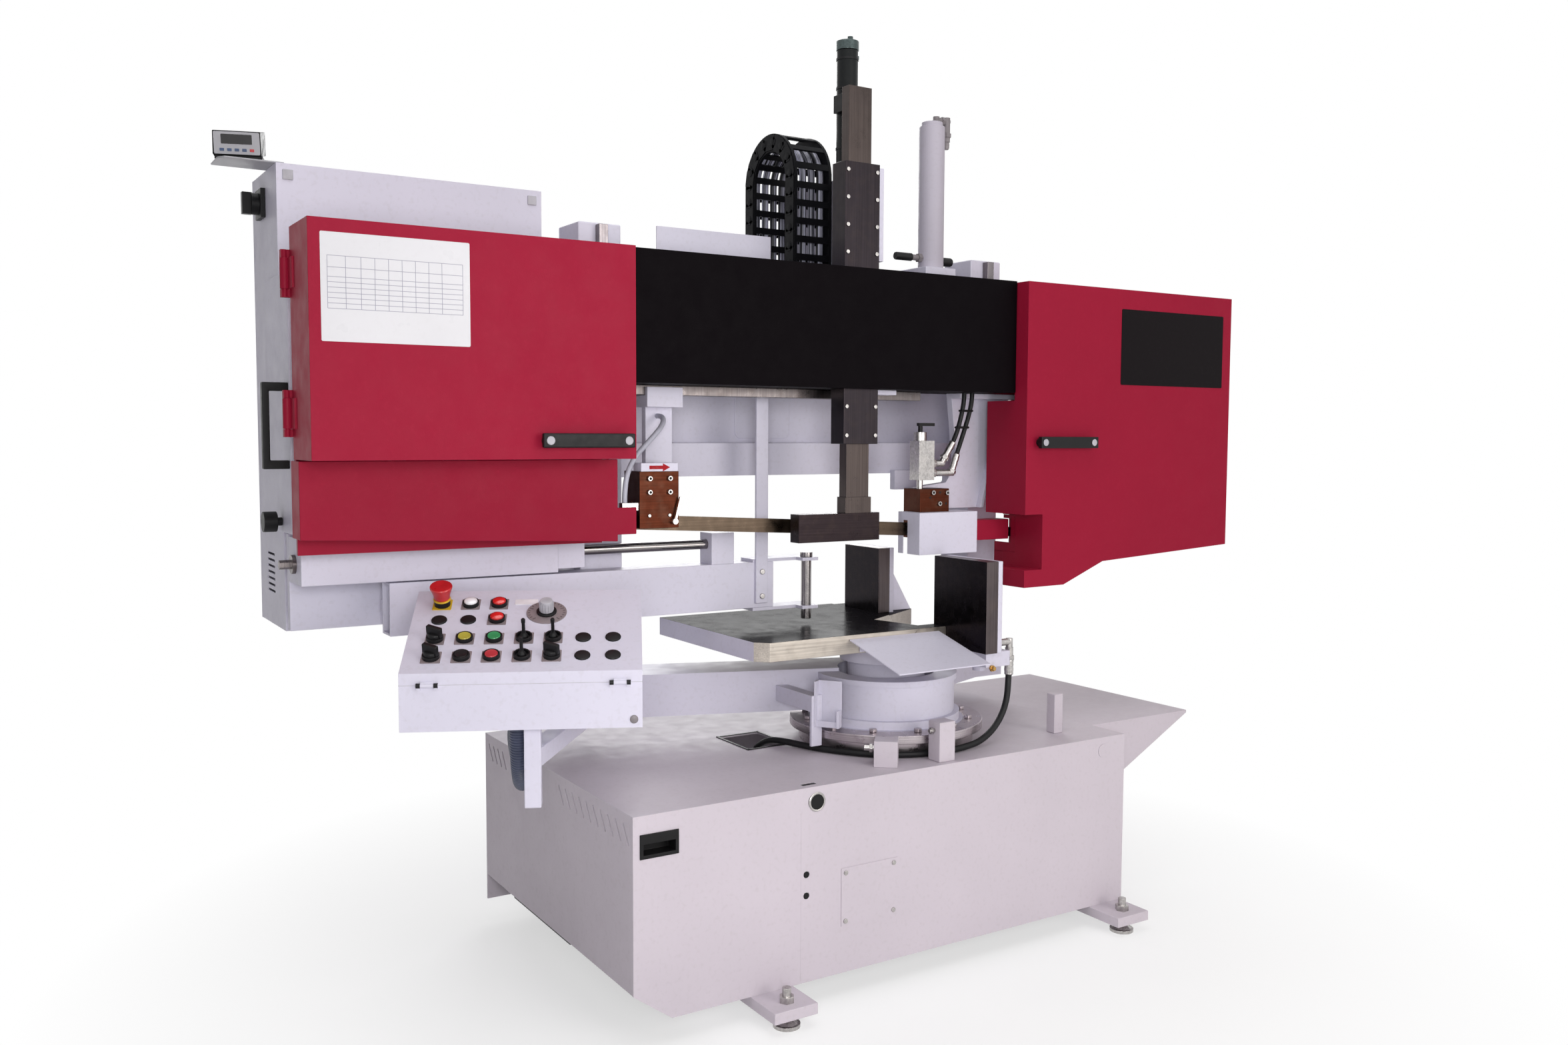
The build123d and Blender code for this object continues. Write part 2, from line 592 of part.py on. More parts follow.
post = box(post_x0, post_x1, post_y0, post_y1, foot_z0 + 106, post_top)
post += box(post_x0 - 4, post_x1 + 6, post_y0 - 3, post_y1 + 3, foot_z0 + 68, foot_z0 + 107)
post += box(HOLD_X - 173, HOLD_X + 65, HOLD_Y - 19, HOLD_Y + 19, foot_z0, foot_z0 + 68)
nodes["hold_post"] = post
barrel_z0 = hold_z1 + 15
barrel_z1 = barrel_z0 + 269
barrel = rod_z(barrel_x, barrel_y, BARREL_R, barrel_z0, barrel_z1)
barrel -= rod_z(barrel_x, barrel_y, BARREL_R - 6, barrel_z0 + 20, barrel_z1 - 9)
barrel -= rod_z(barrel_x, barrel_y, BARREL_ROD_R + RUN, barrel_z0 - 1, barrel_z0 + 21)
nodes["hold_cylinder"] = barrel
cap = rod_z(barrel_x, barrel_y, BARREL_R + 2, barrel_z1, barrel_z1 + 22)
cap += rod_z(barrel_x + 8, barrel_y, 7, barrel_z1 + 22, barrel_z1 + 36)
saddle = box(saddle_x0, saddle_x1, post_y1, barrel_y, saddle_z0, post_top - 12)
saddle -= rod_z(barrel_x, barrel_y, BARREL_R, barrel_z0, barrel_z1)
nodes["hold_fixings"] = solids(cap, saddle)

# Lift cylinder: barrel on the portal, rod on the head
mount_z0 = head_top + 22
lift_z1 = head_top + 434
lift = rod_z(LIFT_X, LIFT_Y, LIFT_R, mount_z0 - 10, lift_z1)
lift += rod_z(LIFT_X, LIFT_Y, LIFT_R - 6, lift_z1, lift_z1 + 12)
lift -= rod_z(LIFT_X, LIFT_Y, LIFT_R - 7, mount_z0 + 30, lift_z1 - 12)
nodes["lift_cylinder"] = lift - rod_z(LIFT_X, LIFT_Y, LIFT_ROD_R + RUN, mount_z0 - 11, mount_z0 + 31)
lift_mount = box(LIFT_X - 52, LIFT_X + 52, LIFT_Y - 45, plate_y0, mount_z0, mount_z0 + 30)
lift_mount += box(LIFT_X - 52, LIFT_X + 52, plate_y0 - 12, plate_y0, mount_z0 - 60, mount_z0)
nodes["lift_mount"] = lift_mount - rod_z(LIFT_X, LIFT_Y, LIFT_R, mount_z0 - 1, mount_z0 + 31)
elbow = rod_z(LIFT_X + 14, LIFT_Y, 9, lift_z1 + 12, lift_z1 + 30)
elbow += rod_x(LIFT_Y, lift_z1 + 21, 8, LIFT_X + 14, LIFT_X + LIFT_R + 23)
nodes["lift_breather"] = elbow + rod_z(LIFT_X + LIFT_R + 15, LIFT_Y, 10, lift_z1 - 34, lift_z1 + 31)
lug_z1 = head_top - 198
nodes["lift_rod"] = rod_z(LIFT_X, LIFT_Y, LIFT_ROD_R, lug_z1, lift_z1 - 52)
nodes["lift_lug"] = box(LIFT_X - 35, LIFT_X + 35, BEAM_Y1, LIFT_Y + 35, lug_z1 - 40, lug_z1)

# Energy chain: a loop between two troughs that moves half as far as the head
chain_x0 = CHAIN_X - CHAIN_W / 2
chain_x1 = CHAIN_X + CHAIN_W / 2
near_y = BEAM_Y1 + TROUGH_T + SLIP + LINK_H / 2
far_y = plate_y1 + TROUGH_T + SLIP + LINK_H / 2
chain_r = (far_y - near_y) / 2
chain_y = (far_y + near_y) / 2
chain_z = head_top + 249
near_z = head_top - 198
far_z = head_top - 248


def chain_side(x0, x1):
    """One row of side plates along both legs and the bend."""
    ro = chain_r + LINK_H / 2
    ri = chain_r - LINK_H / 2
    side = rod_x(chain_y, chain_z, ro, x0, x1) - rod_x(chain_y, chain_z, ri, x0 - 1, x1 + 1)
    side -= box(x0 - 1, x1 + 1, chain_y - ro - 1, chain_y + ro + 1, chain_z - ro - 1, chain_z)
    side += box(x0, x1, chain_y - ro, chain_y - ri, near_z, chain_z)
    return side + box(x0, x1, chain_y + ri, chain_y + ro, far_z, chain_z)


chain = chain_side(chain_x0, chain_x0 + LINK_SIDE) + chain_side(chain_x1 - LINK_SIDE, chain_x1)
spots = []
for y, z_end in ((-chain_r, near_z), (chain_r, far_z)):
    count = int((chain_z - z_end) / LINK)
    spots += [(y, chain_z - LINK * (k + 0.5), 0) for k in range(count)]
bends = round(math.pi * chain_r / LINK)
for k in range(bends):
    a = math.pi * (k + 0.5) / bends
    spots.append((-chain_r * math.cos(a), chain_z + chain_r * math.sin(a), math.degrees(a)))
for y, z, turn in spots:
    for s in (-1, 1):
        off = s * (LINK_H / 2 - LINK_BAR_T / 2 - 0.5)
        bar = Pos(CHAIN_X, chain_y + y, z) * Rot(-turn, 0, 0) * Pos(0, off, 0)
        chain += bar * Box(CHAIN_W - 12, LINK_BAR_T, 16)
nodes["energy_chain"] = chain
cables = []
cable_bend = chain_r - LINK_H / 2 + LINK_BAR_T + 0.5 + 3 * SLIP + CABLE_R
for k in range(4):
    x = chain_x0 + LINK_SIDE + SLIP + CABLE_R + k * (CHAIN_W - 2 * (LINK_SIDE + SLIP + CABLE_R)) / 3
    path = Line((x, chain_y - cable_bend, near_z + 4), (x, chain_y - cable_bend, chain_z))
    path += ThreePointArc((x, chain_y - cable_bend, chain_z), (x, chain_y, chain_z + cable_bend),
                          (x, chain_y + cable_bend, chain_z))
    path += Line((x, chain_y + cable_bend, chain_z), (x, chain_y + cable_bend, far_z + 4))
    cables.append(sweep(Plane(origin=path @ 0, z_dir=path % 0) * Circle(CABLE_R), path=path))
nodes["chain_cables"] = solids(*cables)


def trough(y0, z0, z1):
    """A channel that holds one leg of the chain on the wall at y0."""
    y1 = y0 + TROUGH_T
    t = box(chain_x0 - 6, chain_x1 + 6, y0, y1, z0, z1)
    for x in (chain_x0 - 6, chain_x1 + 6 - TROUGH_T):
        t += box(x, x + TROUGH_T, y1, y1 + LINK_H + 11, z0, z1)
    return t


nodes["head_trough"] = trough(BEAM_Y1, beam_z0 + 12, head_top - 16)
nodes["portal_trough"] = trough(plate_y1, head_top - 378, head_top + 57)

# Vice: cylinder, guides and mounting plate on the portal, beam and jaw bar moving
vice_z0 = table_top + 48
vice_z1 = vice_z0 + VICE_H
vice_y1 = COL_Y0 - 1 - VICE_RAIL_D
vice_y0 = vice_y1 - VICE_W
rod_yc = vice_y1 - VICE_W / 2
rod_zc = vice_z1 + 49
mount_y0 = COL_Y0 + 35
vice_x0 = col_l_x - 711
vice_x1 = col_l_x - 144
rail_z0 = (vice_z0 + vice_z1 - VICE_RAIL_H) / 2
rail_z1 = rail_z0 + VICE_RAIL_H
nodes["vice_mount"] = box(vice_x0, col_l_out, mount_y0, mount_y0 + 20, vice_z0 + 12, rod_zc + 57)
blocks = []
for x0, x1 in ((col_l_x - 288, col_l_x - 188), (col_l_out - 95, col_l_out - 11)):
    blk = box(x0, x1, vice_y1 + PLAY, mount_y0, rail_z0 - 16, rail_z1 + 16)
    blocks.append(blk - box(x0 - 1, x1 + 1, vice_y1, vice_y1 + VICE_RAIL_D + PLAY, rail_z0 - PLAY,
                            rail_z1 + PLAY))
nodes["vice_guides"] = solids(*blocks)
cyl_r = VICE_BORE_R + 8
cyl_x0 = vice_x0 + 63
cyl = rod_x(rod_yc, rod_zc, cyl_r, cyl_x0, vice_x1)
cyl += box(vice_x1, vice_x1 + 66, rod_yc - 35, rod_yc + 35, rod_zc - 37, rod_zc + 37)
for x in (cyl_x0, vice_x1 - 144):
    cyl += box(x, x + 60, rod_yc, mount_y0, rod_zc - 23, rod_zc + 23)
cyl -= rod_x(rod_yc, rod_zc, VICE_BORE_R, cyl_x0 + 10, vice_x1)
nodes["vice_cylinder"] = cyl - rod_x(rod_yc, rod_zc, VICE_ROD_R + RUN, vice_x1 - 1, vice_x1 + 67)
shell = box(vice_x0, vice_x1 - 1, vice_y0 - 10, mount_y0, vice_z1 + 4, rod_zc + 53)
nodes["vice_cover"] = shell - box(vice_x0 + COVER_T, vice_x1, vice_y0 - 10 + COVER_T, mount_y0 + 1,
                                  vice_z1 + 3, rod_zc + 53 - COVER_T)
boss = rod_x(rod_yc + 18, rod_zc - 3, 20, vice_x0 - 8, vice_x0)
nodes["vice_boss"] = boss + Pos(vice_x0 - 32, rod_yc + 18, rod_zc - 3) * Rot(0, 90, 0) * hexagon(17, 24)

vice_l = col_l_x - 528
vice_r = JAWBAR_X - 92
vice = box(vice_l, vice_r, vice_y0, vice_y1, vice_z0, vice_z1)
vice -= box(vice_l - 1, vice_r - 6, vice_y0 + 6, vice_y1 - 6, vice_z0 + 6, vice_z1 - 6)
nodes["vice_beam"] = vice + box(vice_l, vice_r - 51, vice_y1, vice_y1 + VICE_RAIL_D, rail_z0, rail_z1)
block_x0 = JAWBAR_X - 272
block_x1 = JAWBAR_X - 208
rod_block = box(block_x0, block_x1, vice_y0, vice_y1, vice_z1, rod_zc + 29)
nodes["vice_rod_block"] = rod_block - rod_x(rod_yc, rod_zc, VICE_ROD_R, block_x0 - 1, block_x1 + 1)
nodes["vice_rod"] = rod_x(rod_yc, rod_zc, VICE_ROD_R, col_l_x - 368, block_x1 + 9)
jawbar_y = vice_y0 - JAWBAR_R + 1
tongues = []
for z in (vice_z0 - TONGUE_T, vice_z1):
    t = box(vice_r - 61, JAWBAR_X + 24, vice_y0, vice_y1, z, z + TONGUE_T)
    t += box(JAWBAR_X - 24, JAWBAR_X + 24, jawbar_y - JAWBAR_R - 7, vice_y0, z, z + TONGUE_T)
    tongues.append(t - rod_z(JAWBAR_X, jawbar_y, JAWBAR_R + RUN, z - 1, z + TONGUE_T + 1))
nodes["jaw_tongues"] = solids(*tongues)
nodes["jaw_bar"] = (rod_z(JAWBAR_X, jawbar_y, JAWBAR_R, table_top + 13, vice_z1 + TONGUE_T + 1)
                    + rod_z(JAWBAR_X, jawbar_y, JAWBAR_R + 3, vice_z1 + TONGUE_T + SLIP,
                            vice_z1 + TONGUE_T + 13))
up_x0 = vice_r - 56
nodes["vice_upright"] = box(up_x0, up_x0 + 35, vice_y0 - 8, vice_y0, vice_z0 + 12, beam_z0 - 14)
nodes["upright_screws"] = solids(*[rod_y(up_x0 + 17.5, z, 7, vice_y0 - 12, vice_y0 - 8)
                                   for z in (vice_z0 + 30, vice_z1 - 24)])

# Electrical cabinet on the left of the portal
cab_x1 = col_l_x - 108
cab_x0 = cab_x1 - CAB_W
cab_y0 = COL_Y0 + 95
cab_y1 = cab_y0 + CAB_D
cab_z0 = table_top + 52
cab_z1 = cab_z0 + CAB_H
cab_in = cab_x0 + CAB_SHEET
cab = box(cab_x0, cab_x1, cab_y0, cab_y1, cab_z0, cab_z1)
cab -= box(cab_in, cab_x1 - CAB_SHEET, cab_y0 + CAB_SHEET, cab_y1 + 1, cab_z0 + CAB_SHEET,
           cab_z1 - CAB_SHEET)
for k in range(7):
    cab -= box(cab_x0 - 1, cab_in + 1, cab_y0 + 105, cab_y0 + 185, cab_z0 + 73 + 14 * k,
               cab_z0 + 78 + 14 * k)
switch_y = cab_y0 + 150
switch_z = cab_z1 - 68
switch_hole = rod_x(switch_y, switch_z, SWITCH_STEM_R + SLIP, cab_x0 - 11, cab_in + 1)
nodes["cabinet"] = cab - switch_hole
door = box(cab_x0, cab_x1, cab_y1 + SLIP, cab_y1 + CAB_DOOR_T, cab_z0, cab_z1)
door -= box(cab_in, cab_x1 - CAB_SHEET, cab_y1, cab_y1 + CAB_DOOR_T - CAB_SHEET, cab_z0 + CAB_SHEET,
            cab_z1 - CAB_SHEET)
cab_hinge_x = cab_x1 + KNUCKLE_R + SLIP
knuckles, pins = hinges(cab_hinge_x, cab_y1, (cab_z0 + 150, cab_z1 - 150),
                        (cab_x1, cab_hinge_x, cab_y1 + SLIP, cab_y1 + CAB_DOOR_T - 3),
                        (cab_x1, cab_hinge_x + PIN_R + 2, cab_y1 - 14, cab_y1))
for k in knuckles:
    door += k
nodes["cabinet_door"] = door
nodes["cabinet_pins"] = solids(*pins)
caps = []
for x in (cab_x0 + 24, cab_x1 - 24):
    for z in (cab_z0 + 24, cab_z1 - 24):
        caps.append(box(x - 11, x + 11, cab_y0 - 3, cab_y0, z - 11, z + 11))
nodes["corner_caps"] = solids(*caps)
nodes["mounting_plate"] = box(cab_x0 + 40, cab_x1 - 40, cab_y0 + CAB_SHEET, cab_y0 + 20, cab_z0 + 60,
                              cab_z1 - 60)
nodes["cabinet_arms"] = solids(*[box(cab_x1, col_l_out, cab_y0 + 5, cab_y0 + 20, z, z + 120)
                                 for z in (cab_z0 + 158, cab_z1 - 352)])
side_z0 = rod_zc + 59
side_y0 = cab_y0 - 125
side_x = cab_x0 - 8
nodes["side_plate"] = box(side_x, cab_x0, side_y0, cab_y0 + 95, side_z0, side_z0 + 548)
bow_z0 = side_z0 + 138
bow = box(side_x - 52, side_x - 38, side_y0 + 7, side_y0 + 25, bow_z0, bow_z0 + 180)
for z in (bow_z0, bow_z0 + 162):
    bow += box(side_x - 52, side_x, side_y0 + 7, side_y0 + 25, z, z + 18)
nodes["bow_handle"] = bow
knob_y = side_y0 + 97
knob_z = side_z0 + 23
knob = rod_x(knob_y, knob_z, 9, side_x - 12, side_x)
nodes["side_knob"] = knob + rod_x(knob_y, knob_z, 22, side_x - 40, side_x - 12)
switch_base = box(cab_x0 - 10, cab_x0, switch_y - 32, switch_y + 32, switch_z - 32, switch_z + 32)
nodes["switch_base"] = switch_base - switch_hole
switch = rod_x(switch_y, switch_z, 24, cab_x0 - 26, cab_x0 - 10 - SLIP)
switch += rod_x(switch_y, switch_z, SWITCH_STEM_R, cab_x0 - 12, cab_in + 5)
switch += box(cab_x0 - 44, cab_x0 - 24, switch_y - 8, switch_y + 8, switch_z - 24, switch_z + 24)
nodes["main_switch"] = switch
shelf = [(cab_x0 - 112, cab_y0 + 28), (cab_x0 - 100, cab_y0 + 10), (cab_x0 + 20, cab_y0 + 10),
         (cab_x0 + 20, cab_y0 + 110), (cab_x0 - 112, cab_y0 + 110)]
nodes["display_shelf"] = prism_z(shelf, cab_z1, cab_z1 + 4)
disp_at = Pos(cab_x0 - 62, cab_y0 + 55, cab_z1 + 4) * Rot(0, 0, -20)
display = Pos(0, 0, 38) * Rot(12, 0, 0) * Box(96, 62, 50) + Pos(0, 0, 5) * Box(96, 30, 10)
nodes["display_unit"] = disp_at * display

# Saw head: box beam, wheel trays with their pins, shafts, wheels and carriages
beam = box(beam_x0, beam_x1, BEAM_Y0, BEAM_Y1, beam_z0, head_top)
beam -= box(beam_x0 - 1, beam_x1 + 1, BEAM_Y0 + BEAM_WALL, BEAM_Y1 - BEAM_WALL, beam_z0 + BEAM_WALL,
            head_top - BEAM_WALL)
nodes["head_beam"] = beam - box(hold_x0 - AIR, hold_x1 + AIR, hold_y0 - SCREW_HEAD - AIR, hold_y1 + AIR,
                                beam_z0 - 1, head_top + 1)

door_top = head_top - 3
left_door_z0 = left_z - 141
left_tray_x0 = left_x0 + 10
left_tray_z0 = left_z - 334
right_tray_x1 = right_x1 - 10
right_tray_z0 = right_z - 293
right_tray_x0 = beam_x1 + 122
rim_y0 = DOOR_Y1 + AIR
hinge_y = DOOR_Y1 + 4
left_hinge_x = left_x0 - KNUCKLE_R
right_hinge_x = right_x1 + KNUCKLE_R
left_knuckles, left_pins = hinges(left_hinge_x, hinge_y, (left_door_z0 + 90, door_top - 90),
                                  (left_hinge_x + 5, left_x0, hinge_y - 40, hinge_y),
                                  (left_hinge_x - PIN_R - 2, left_tray_x0, hinge_y - 3, hinge_y + 11))
right_knuckles, right_pins = hinges(right_hinge_x, hinge_y, (right_z - 190, door_top - 90),
                                    (right_x1, right_hinge_x - 5, hinge_y - 40, hinge_y),
                                    (right_tray_x1, right_hinge_x + PIN_R + 2, hinge_y - 3,
                                     hinge_y + 11))
left_tray = box(left_tray_x0, beam_x0, TRAY_Y, tray_y1, left_tray_z0, head_top)
left_tray += box(left_tray_x0, left_tray_x0 + RIM, rim_y0, TRAY_Y, left_door_z0 + 2, head_top)
left_tray += box(left_tray_x0, beam_x0, rim_y0, TRAY_Y, head_top - RIM, head_top)
for p in left_pins:
    left_tray += p
right_tray = prism_y([(beam_x1, head_top), (right_tray_x1, head_top), (right_tray_x1, right_tray_z0),
                      (right_tray_x0, right_tray_z0), (right_tray_x0, beam_z0), (beam_x1, beam_z0)],
                     TRAY_Y, tray_y1)
right_tray += box(beam_x1, right_tray_x1, rim_y0, TRAY_Y, head_top - RIM, head_top)
right_tray += box(right_tray_x1 - RIM, right_tray_x1, rim_y0, TRAY_Y, right_tray_z0, head_top)
right_tray += box(right_tray_x0, right_tray_x1, rim_y0, TRAY_Y, right_tray_z0, right_tray_z0 + RIM)
for p in right_pins:
    right_tray += p
nodes["wheel_housings"] = solids(left_tray, right_tray)

shafts = []
wheels = []
for x, z in ((WHEEL_L_X, left_z), (WHEEL_R_X, right_z)):
    shafts.append(rod_y(x, z, SHAFT_R - RUN, -24, TRAY_Y) + rod_y(x, z, SHAFT_R + 15, 24, TRAY_Y))
    w = rod_y(x, z, WHEEL_R, -18, 18) - rod_y(x, z, WHEEL_R - 26, -19, 19)
    w = w + rod_y(x, z, WHEEL_R - 20, -WEB_T / 2, WEB_T / 2) + rod_y(x, z, HUB_R, -22, 22)
    w -= rod_y(x, z, SHAFT_R, -23, 23)
    for k in range(6):
        a = math.radians(60 * k)
        w -= rod_y(x + 150 * math.cos(a), z + 150 * math.sin(a), 42, -WEB_T, WEB_T)
    wheels.append(w)
nodes["wheel_shafts"] = solids(*shafts)
nodes["left_wheel"] = wheels[0]
nodes["right_wheel"] = wheels[1]

# Saw band: two straight runs, two wraps and a quarter twist at each end of the cut
tilt = math.degrees(math.atan(SLOPE))
n_up = Vector(-math.sin(math.radians(tilt)), 0, math.cos(math.radians(tilt)))
centres = (Vector(WHEEL_L_X, 0, left_z), Vector(WHEEL_R_X, 0, right_z))
low_l, low_r = [c - n_up * (band_r + BAND_T / 2) for c in centres]
top_l, top_r = [c + n_up * (band_r + BAND_T / 2) for c in centres]
wraps = []
for c, side in zip(centres, (-1, 1)):
    full = rod_y(c.X, c.Z, band_r + BAND_T, -BAND_W / 2, BAND_W / 2)
    full -= rod_y(c.X, c.Z, band_r, -BAND_W, BAND_W)
    keep = Pos(c.X, 0, c.Z) * Rot(0, -tilt, 0) * Pos(side * band_r, 0, 0)
    keep *= Box(2 * band_r, 2 * BAND_W, 4 * band_r)
    wraps.append(full & keep)
mid = (top_l + top_r) * 0.5
upper = Pos(mid.X, 0, mid.Z) * Rot(0, -tilt, 0) * Box((top_r - top_l).length, BAND_W, BAND_T)
along = (low_r - low_l).normalized()


def band_section(t, degrees):
    """The band's cross-section at a share t of the lower run, turned about its length."""
    o = low_l + (low_r - low_l) * t
    plane = Plane(origin=(o.X, o.Y, o.Z), x_dir=(0, 1, 0), z_dir=(along.X, along.Y, along.Z))
    return (plane * Rot(0, 0, degrees) * Rectangle(BAND_W, BAND_T)).face()


left_guide_x = beam_x0 + GUIDE_OFF
t_a = (left_guide_x - GUIDE_W / 2 - 15 - low_l.X) / (low_r.X - low_l.X)
t_b = (RIGHT_GUIDE_X + GUIDE_W / 2 + 10 - low_l.X) / (low_r.X - low_l.X)
left_turns = [band_section(FLAT + (t_a - FLAT) * k / TWIST_STEPS, 90 * k / TWIST_STEPS)
              for k in range(TWIST_STEPS + 1)]
right_turns = [band_section(t_b + (1 - FLAT - t_b) * k / TWIST_STEPS, 90 - 90 * k / TWIST_STEPS)
               for k in range(TWIST_STEPS + 1)]
band = wraps[0] + upper + wraps[1]
for sections in ([band_section(1 - FLAT, 0), band_section(1, 0)], right_turns,
                 [band_section(t_a, 90), band_section(t_b, 90)], left_turns,
                 [band_section(0, 0), band_section(FLAT, 0)]):
    band += loft(sections, ruled=True)
nodes["saw_band"] = band

carriages = []
block_y0 = COL_Y0 - RAIL_H - 27
for x, y0 in ((col_l_x, BEAM_Y1), (col_r_x, tray_y1)):
    carriage = box(x - 68, x + 68, y0, block_y0, carriage_z0, carriage_z1)
    for z in (carriage_z0 + 12, carriage_z1 - 112):
        blk = box(x - 45, x + 45, block_y0, COL_Y0 - 3, z, z + 100)
        carriage += blk - box(x - RAIL_W / 2 - PLAY, x + RAIL_W / 2 + PLAY, COL_Y0 - RAIL_H - PLAY,
                              COL_Y0, z - 1, z + 101)
    carriages.append(carriage)
nodes["carriages"] = solids(*carriages)

motor_y = tray_y1 + 65
motor = box(WHEEL_R_X - 97, WHEEL_R_X + 97, tray_y1, tray_y1 + 130, right_z - 81, right_z + 89)
motor += rod_z(WHEEL_R_X, motor_y, 56, right_z + 89, head_top - 48)
motor += rod_z(WHEEL_R_X, motor_y, 62, right_z + 89, right_z + 105)
nodes["gear_motor"] = motor
sheet_x0 = beam_x0 + 195
nodes["top_sheet"] = (box(sheet_x0, sheet_x0 + 321, BEAM_Y1 + 40, BEAM_Y1 + 43, head_top - 38,
                          head_top + 94)
                      + box(sheet_x0, sheet_x0 + 321, BEAM_Y1, BEAM_Y1 + 43, head_top - 38,
                            head_top - 35))

# Covers: lower left cover, two doors with their handles
lower_x1 = beam_x0 + 7
lower_z1 = left_door_z0 - 3
lower_y1 = GUARD_Y0 + 23
lower_l = band_z(left_x0) - 51.4
lower_r = band_z(lower_x1) - 43
lower = prism_y([(left_x0, lower_l), (lower_x1, lower_r), (lower_x1, lower_z1), (left_x0, lower_z1)],
                lower_y1 - COVER_T, lower_y1)
lower += box(left_x0, left_x0 + COVER_T, lower_y1 - COVER_T, TRAY_Y, lower_l, lower_z1)
lower += prism_y([(left_x0, lower_l), (lower_x1, lower_r), (lower_x1, lower_r + COVER_T),
                  (left_x0, lower_l + COVER_T)], lower_y1 - COVER_T, TRAY_Y)
lower += box(lower_x1 - 1, lower_x1 + 46, lower_y1 - COVER_T, lower_y1, lower_r + 15, lower_r + 75)
nodes["left_lower_cover"] = lower

left_x1 = beam_x0 - 1
ld = box(left_x0, left_x1, DOOR_Y0, DOOR_Y1, left_door_z0, door_top)
ld -= box(left_x0 + COVER_T, left_x1 - COVER_T, DOOR_Y0 + COVER_T, DOOR_Y1 + 1, left_door_z0 + COVER_T,
          door_top - COVER_T)
ld -= box(left_x1 - COVER_T - 1, left_x1 + 1, BEAM_Y0 + BEAM_WALL, DOOR_Y1 + 1, left_door_z0 + 20,
          head_top - 30)
ld -= box(left_x0 + 20, left_x1 - 19, lower_y1 - COVER_T - 4, DOOR_Y1 + 1, left_door_z0 - 1,
          left_door_z0 + COVER_T + 2)
for k in left_knuckles:
    ld += k
nodes["left_door"] = ld

channel_x1 = beam_x1 + 61
channel_z0 = band_z(RIGHT_GUIDE_X) - 34
channel_z1 = channel_z0 + 54
right_x0 = beam_x1 + 2
notch_z1 = channel_z1 + 19
notch_z0 = notch_z1 - 146
door_low = notch_z0 - 46
outline = [(right_x0, door_top), (right_x1, door_top), (right_x1, door_low + 83),
           (beam_x1 + 290, door_low + 57), (beam_x1 + 144, door_low + 1), (right_x0, door_low),
           (right_x0, notch_z0), (channel_x1 + 3, notch_z0), (channel_x1 + 3, notch_z1),
           (right_x0, notch_z1)]
rd_face = make_face(Polyline([(x, DOOR_Y0, z) for x, z in outline], close=True)).face()
rd = Solid.extrude(rd_face, Vector(0, DOOR_Y1 - DOOR_Y0, 0))
in_face = offset(rd_face, amount=-COVER_T, kind=Kind.INTERSECTION).face()
rd -= Pos(0, COVER_T, 0) * Solid.extrude(in_face, Vector(0, DOOR_Y1 - DOOR_Y0 + 5, 0))
rd -= box(beam_x1, right_x0 + COVER_T + 1, BEAM_Y0 + BEAM_WALL, DOOR_Y1 + 1, beam_z0 - 20, head_top - 30)
rd -= box(channel_x1 - 1, channel_x1 + COVER_T + 4, -46, DOOR_Y1 + 1, channel_z0 - 36, notch_z1 - 7)
for k in right_knuckles:
    rd += k
nodes["right_door"] = rd


def door_handle(x0, z):
    """A bridge handle on the front of a door with two round caps."""
    h = box(x0, x0 + HANDLE_L, DOOR_Y0 - HANDLE_GAP - 12, DOOR_Y0 - HANDLE_GAP, z - HANDLE_H / 2,
            z + HANDLE_H / 2)
    for x in (x0 + 15, x0 + HANDLE_L - 15):
        h += rod_y(x, z, 11, DOOR_Y0 - HANDLE_GAP, DOOR_Y0)
    return h


nodes["left_handle"] = door_handle(left_x1 - 14 - HANDLE_L, left_door_z0 + 39)
nodes["right_handle"] = door_handle(right_x0 + 30, right_z - 3)

# Blade guides, guard and lubrication
rail_y0 = TRAY_Y - 10
rail_y1 = rail_y0 + 60
rail_low = beam_z0 - 22
nodes["guide_rail"] = box(beam_x0 + 15, RIGHT_GUIDE_X - 11, rail_y0, rail_y1, rail_low, beam_z0)
left_blade_z = band_z(left_guide_x)
guide_z0 = left_blade_z - 11.4
guide_z1 = guide_z0 + GUIDE_H
guide_y1 = GUIDE_D / 2
arm_x = left_guide_x + 40
ga = box(arm_x - 46, arm_x + 46, rail_y0 - 12, rail_y1 + 12, rail_low - 28, beam_z0 - 4)
ga -= box(arm_x - 47, arm_x + 47, rail_y0 - PLAY, rail_y1 + PLAY, rail_low - PLAY, beam_z0)
nodes["guide_arm"] = ga + box(arm_x - 35, arm_x + 34, guide_y1, guide_y1 + 20, guide_z0 + 22,
                              rail_low - 28)
guide_x0 = left_guide_x - GUIDE_W / 2
guide_x1 = left_guide_x + GUIDE_W / 2
gl = box(guide_x0, guide_x1, -guide_y1, guide_y1, guide_z0, guide_z1)
nodes["left_guide"] = gl - box(guide_x0 - 1, guide_x1 + 1, -BLADE_SLOT / 2, BLADE_SLOT / 2, guide_z0 - 1,
                               left_blade_z + BAND_W + 17)
nodes["guide_top"] = box(guide_x0 + 3, guide_x1 - 3, -guide_y1 - 2, -2, guide_z1, guide_z1 + 19)
nodes["guide_port"] = box(guide_x0 - 41, guide_x0, -36, -18, guide_z0 + 41, guide_z0 + 59)
screws = []
for x in (guide_x0 + 24, guide_x1 - 24):
    for z in (guide_z1 - 47, guide_z1 - 16):
        screws.append(rod_y(x, z, 6, -guide_y1 - 7, -guide_y1))
    screws.append(rod_y(x, guide_z0 + 29, 4, -guide_y1 - 3, -guide_y1))
nodes["guide_screws"] = solids(*screws)
lever_x = guide_x1 - 14
lever_z = guide_z0 + 15
lever = rod_y(lever_x, lever_z, 7, -guide_y1 - 12, -guide_y1 - SLIP)
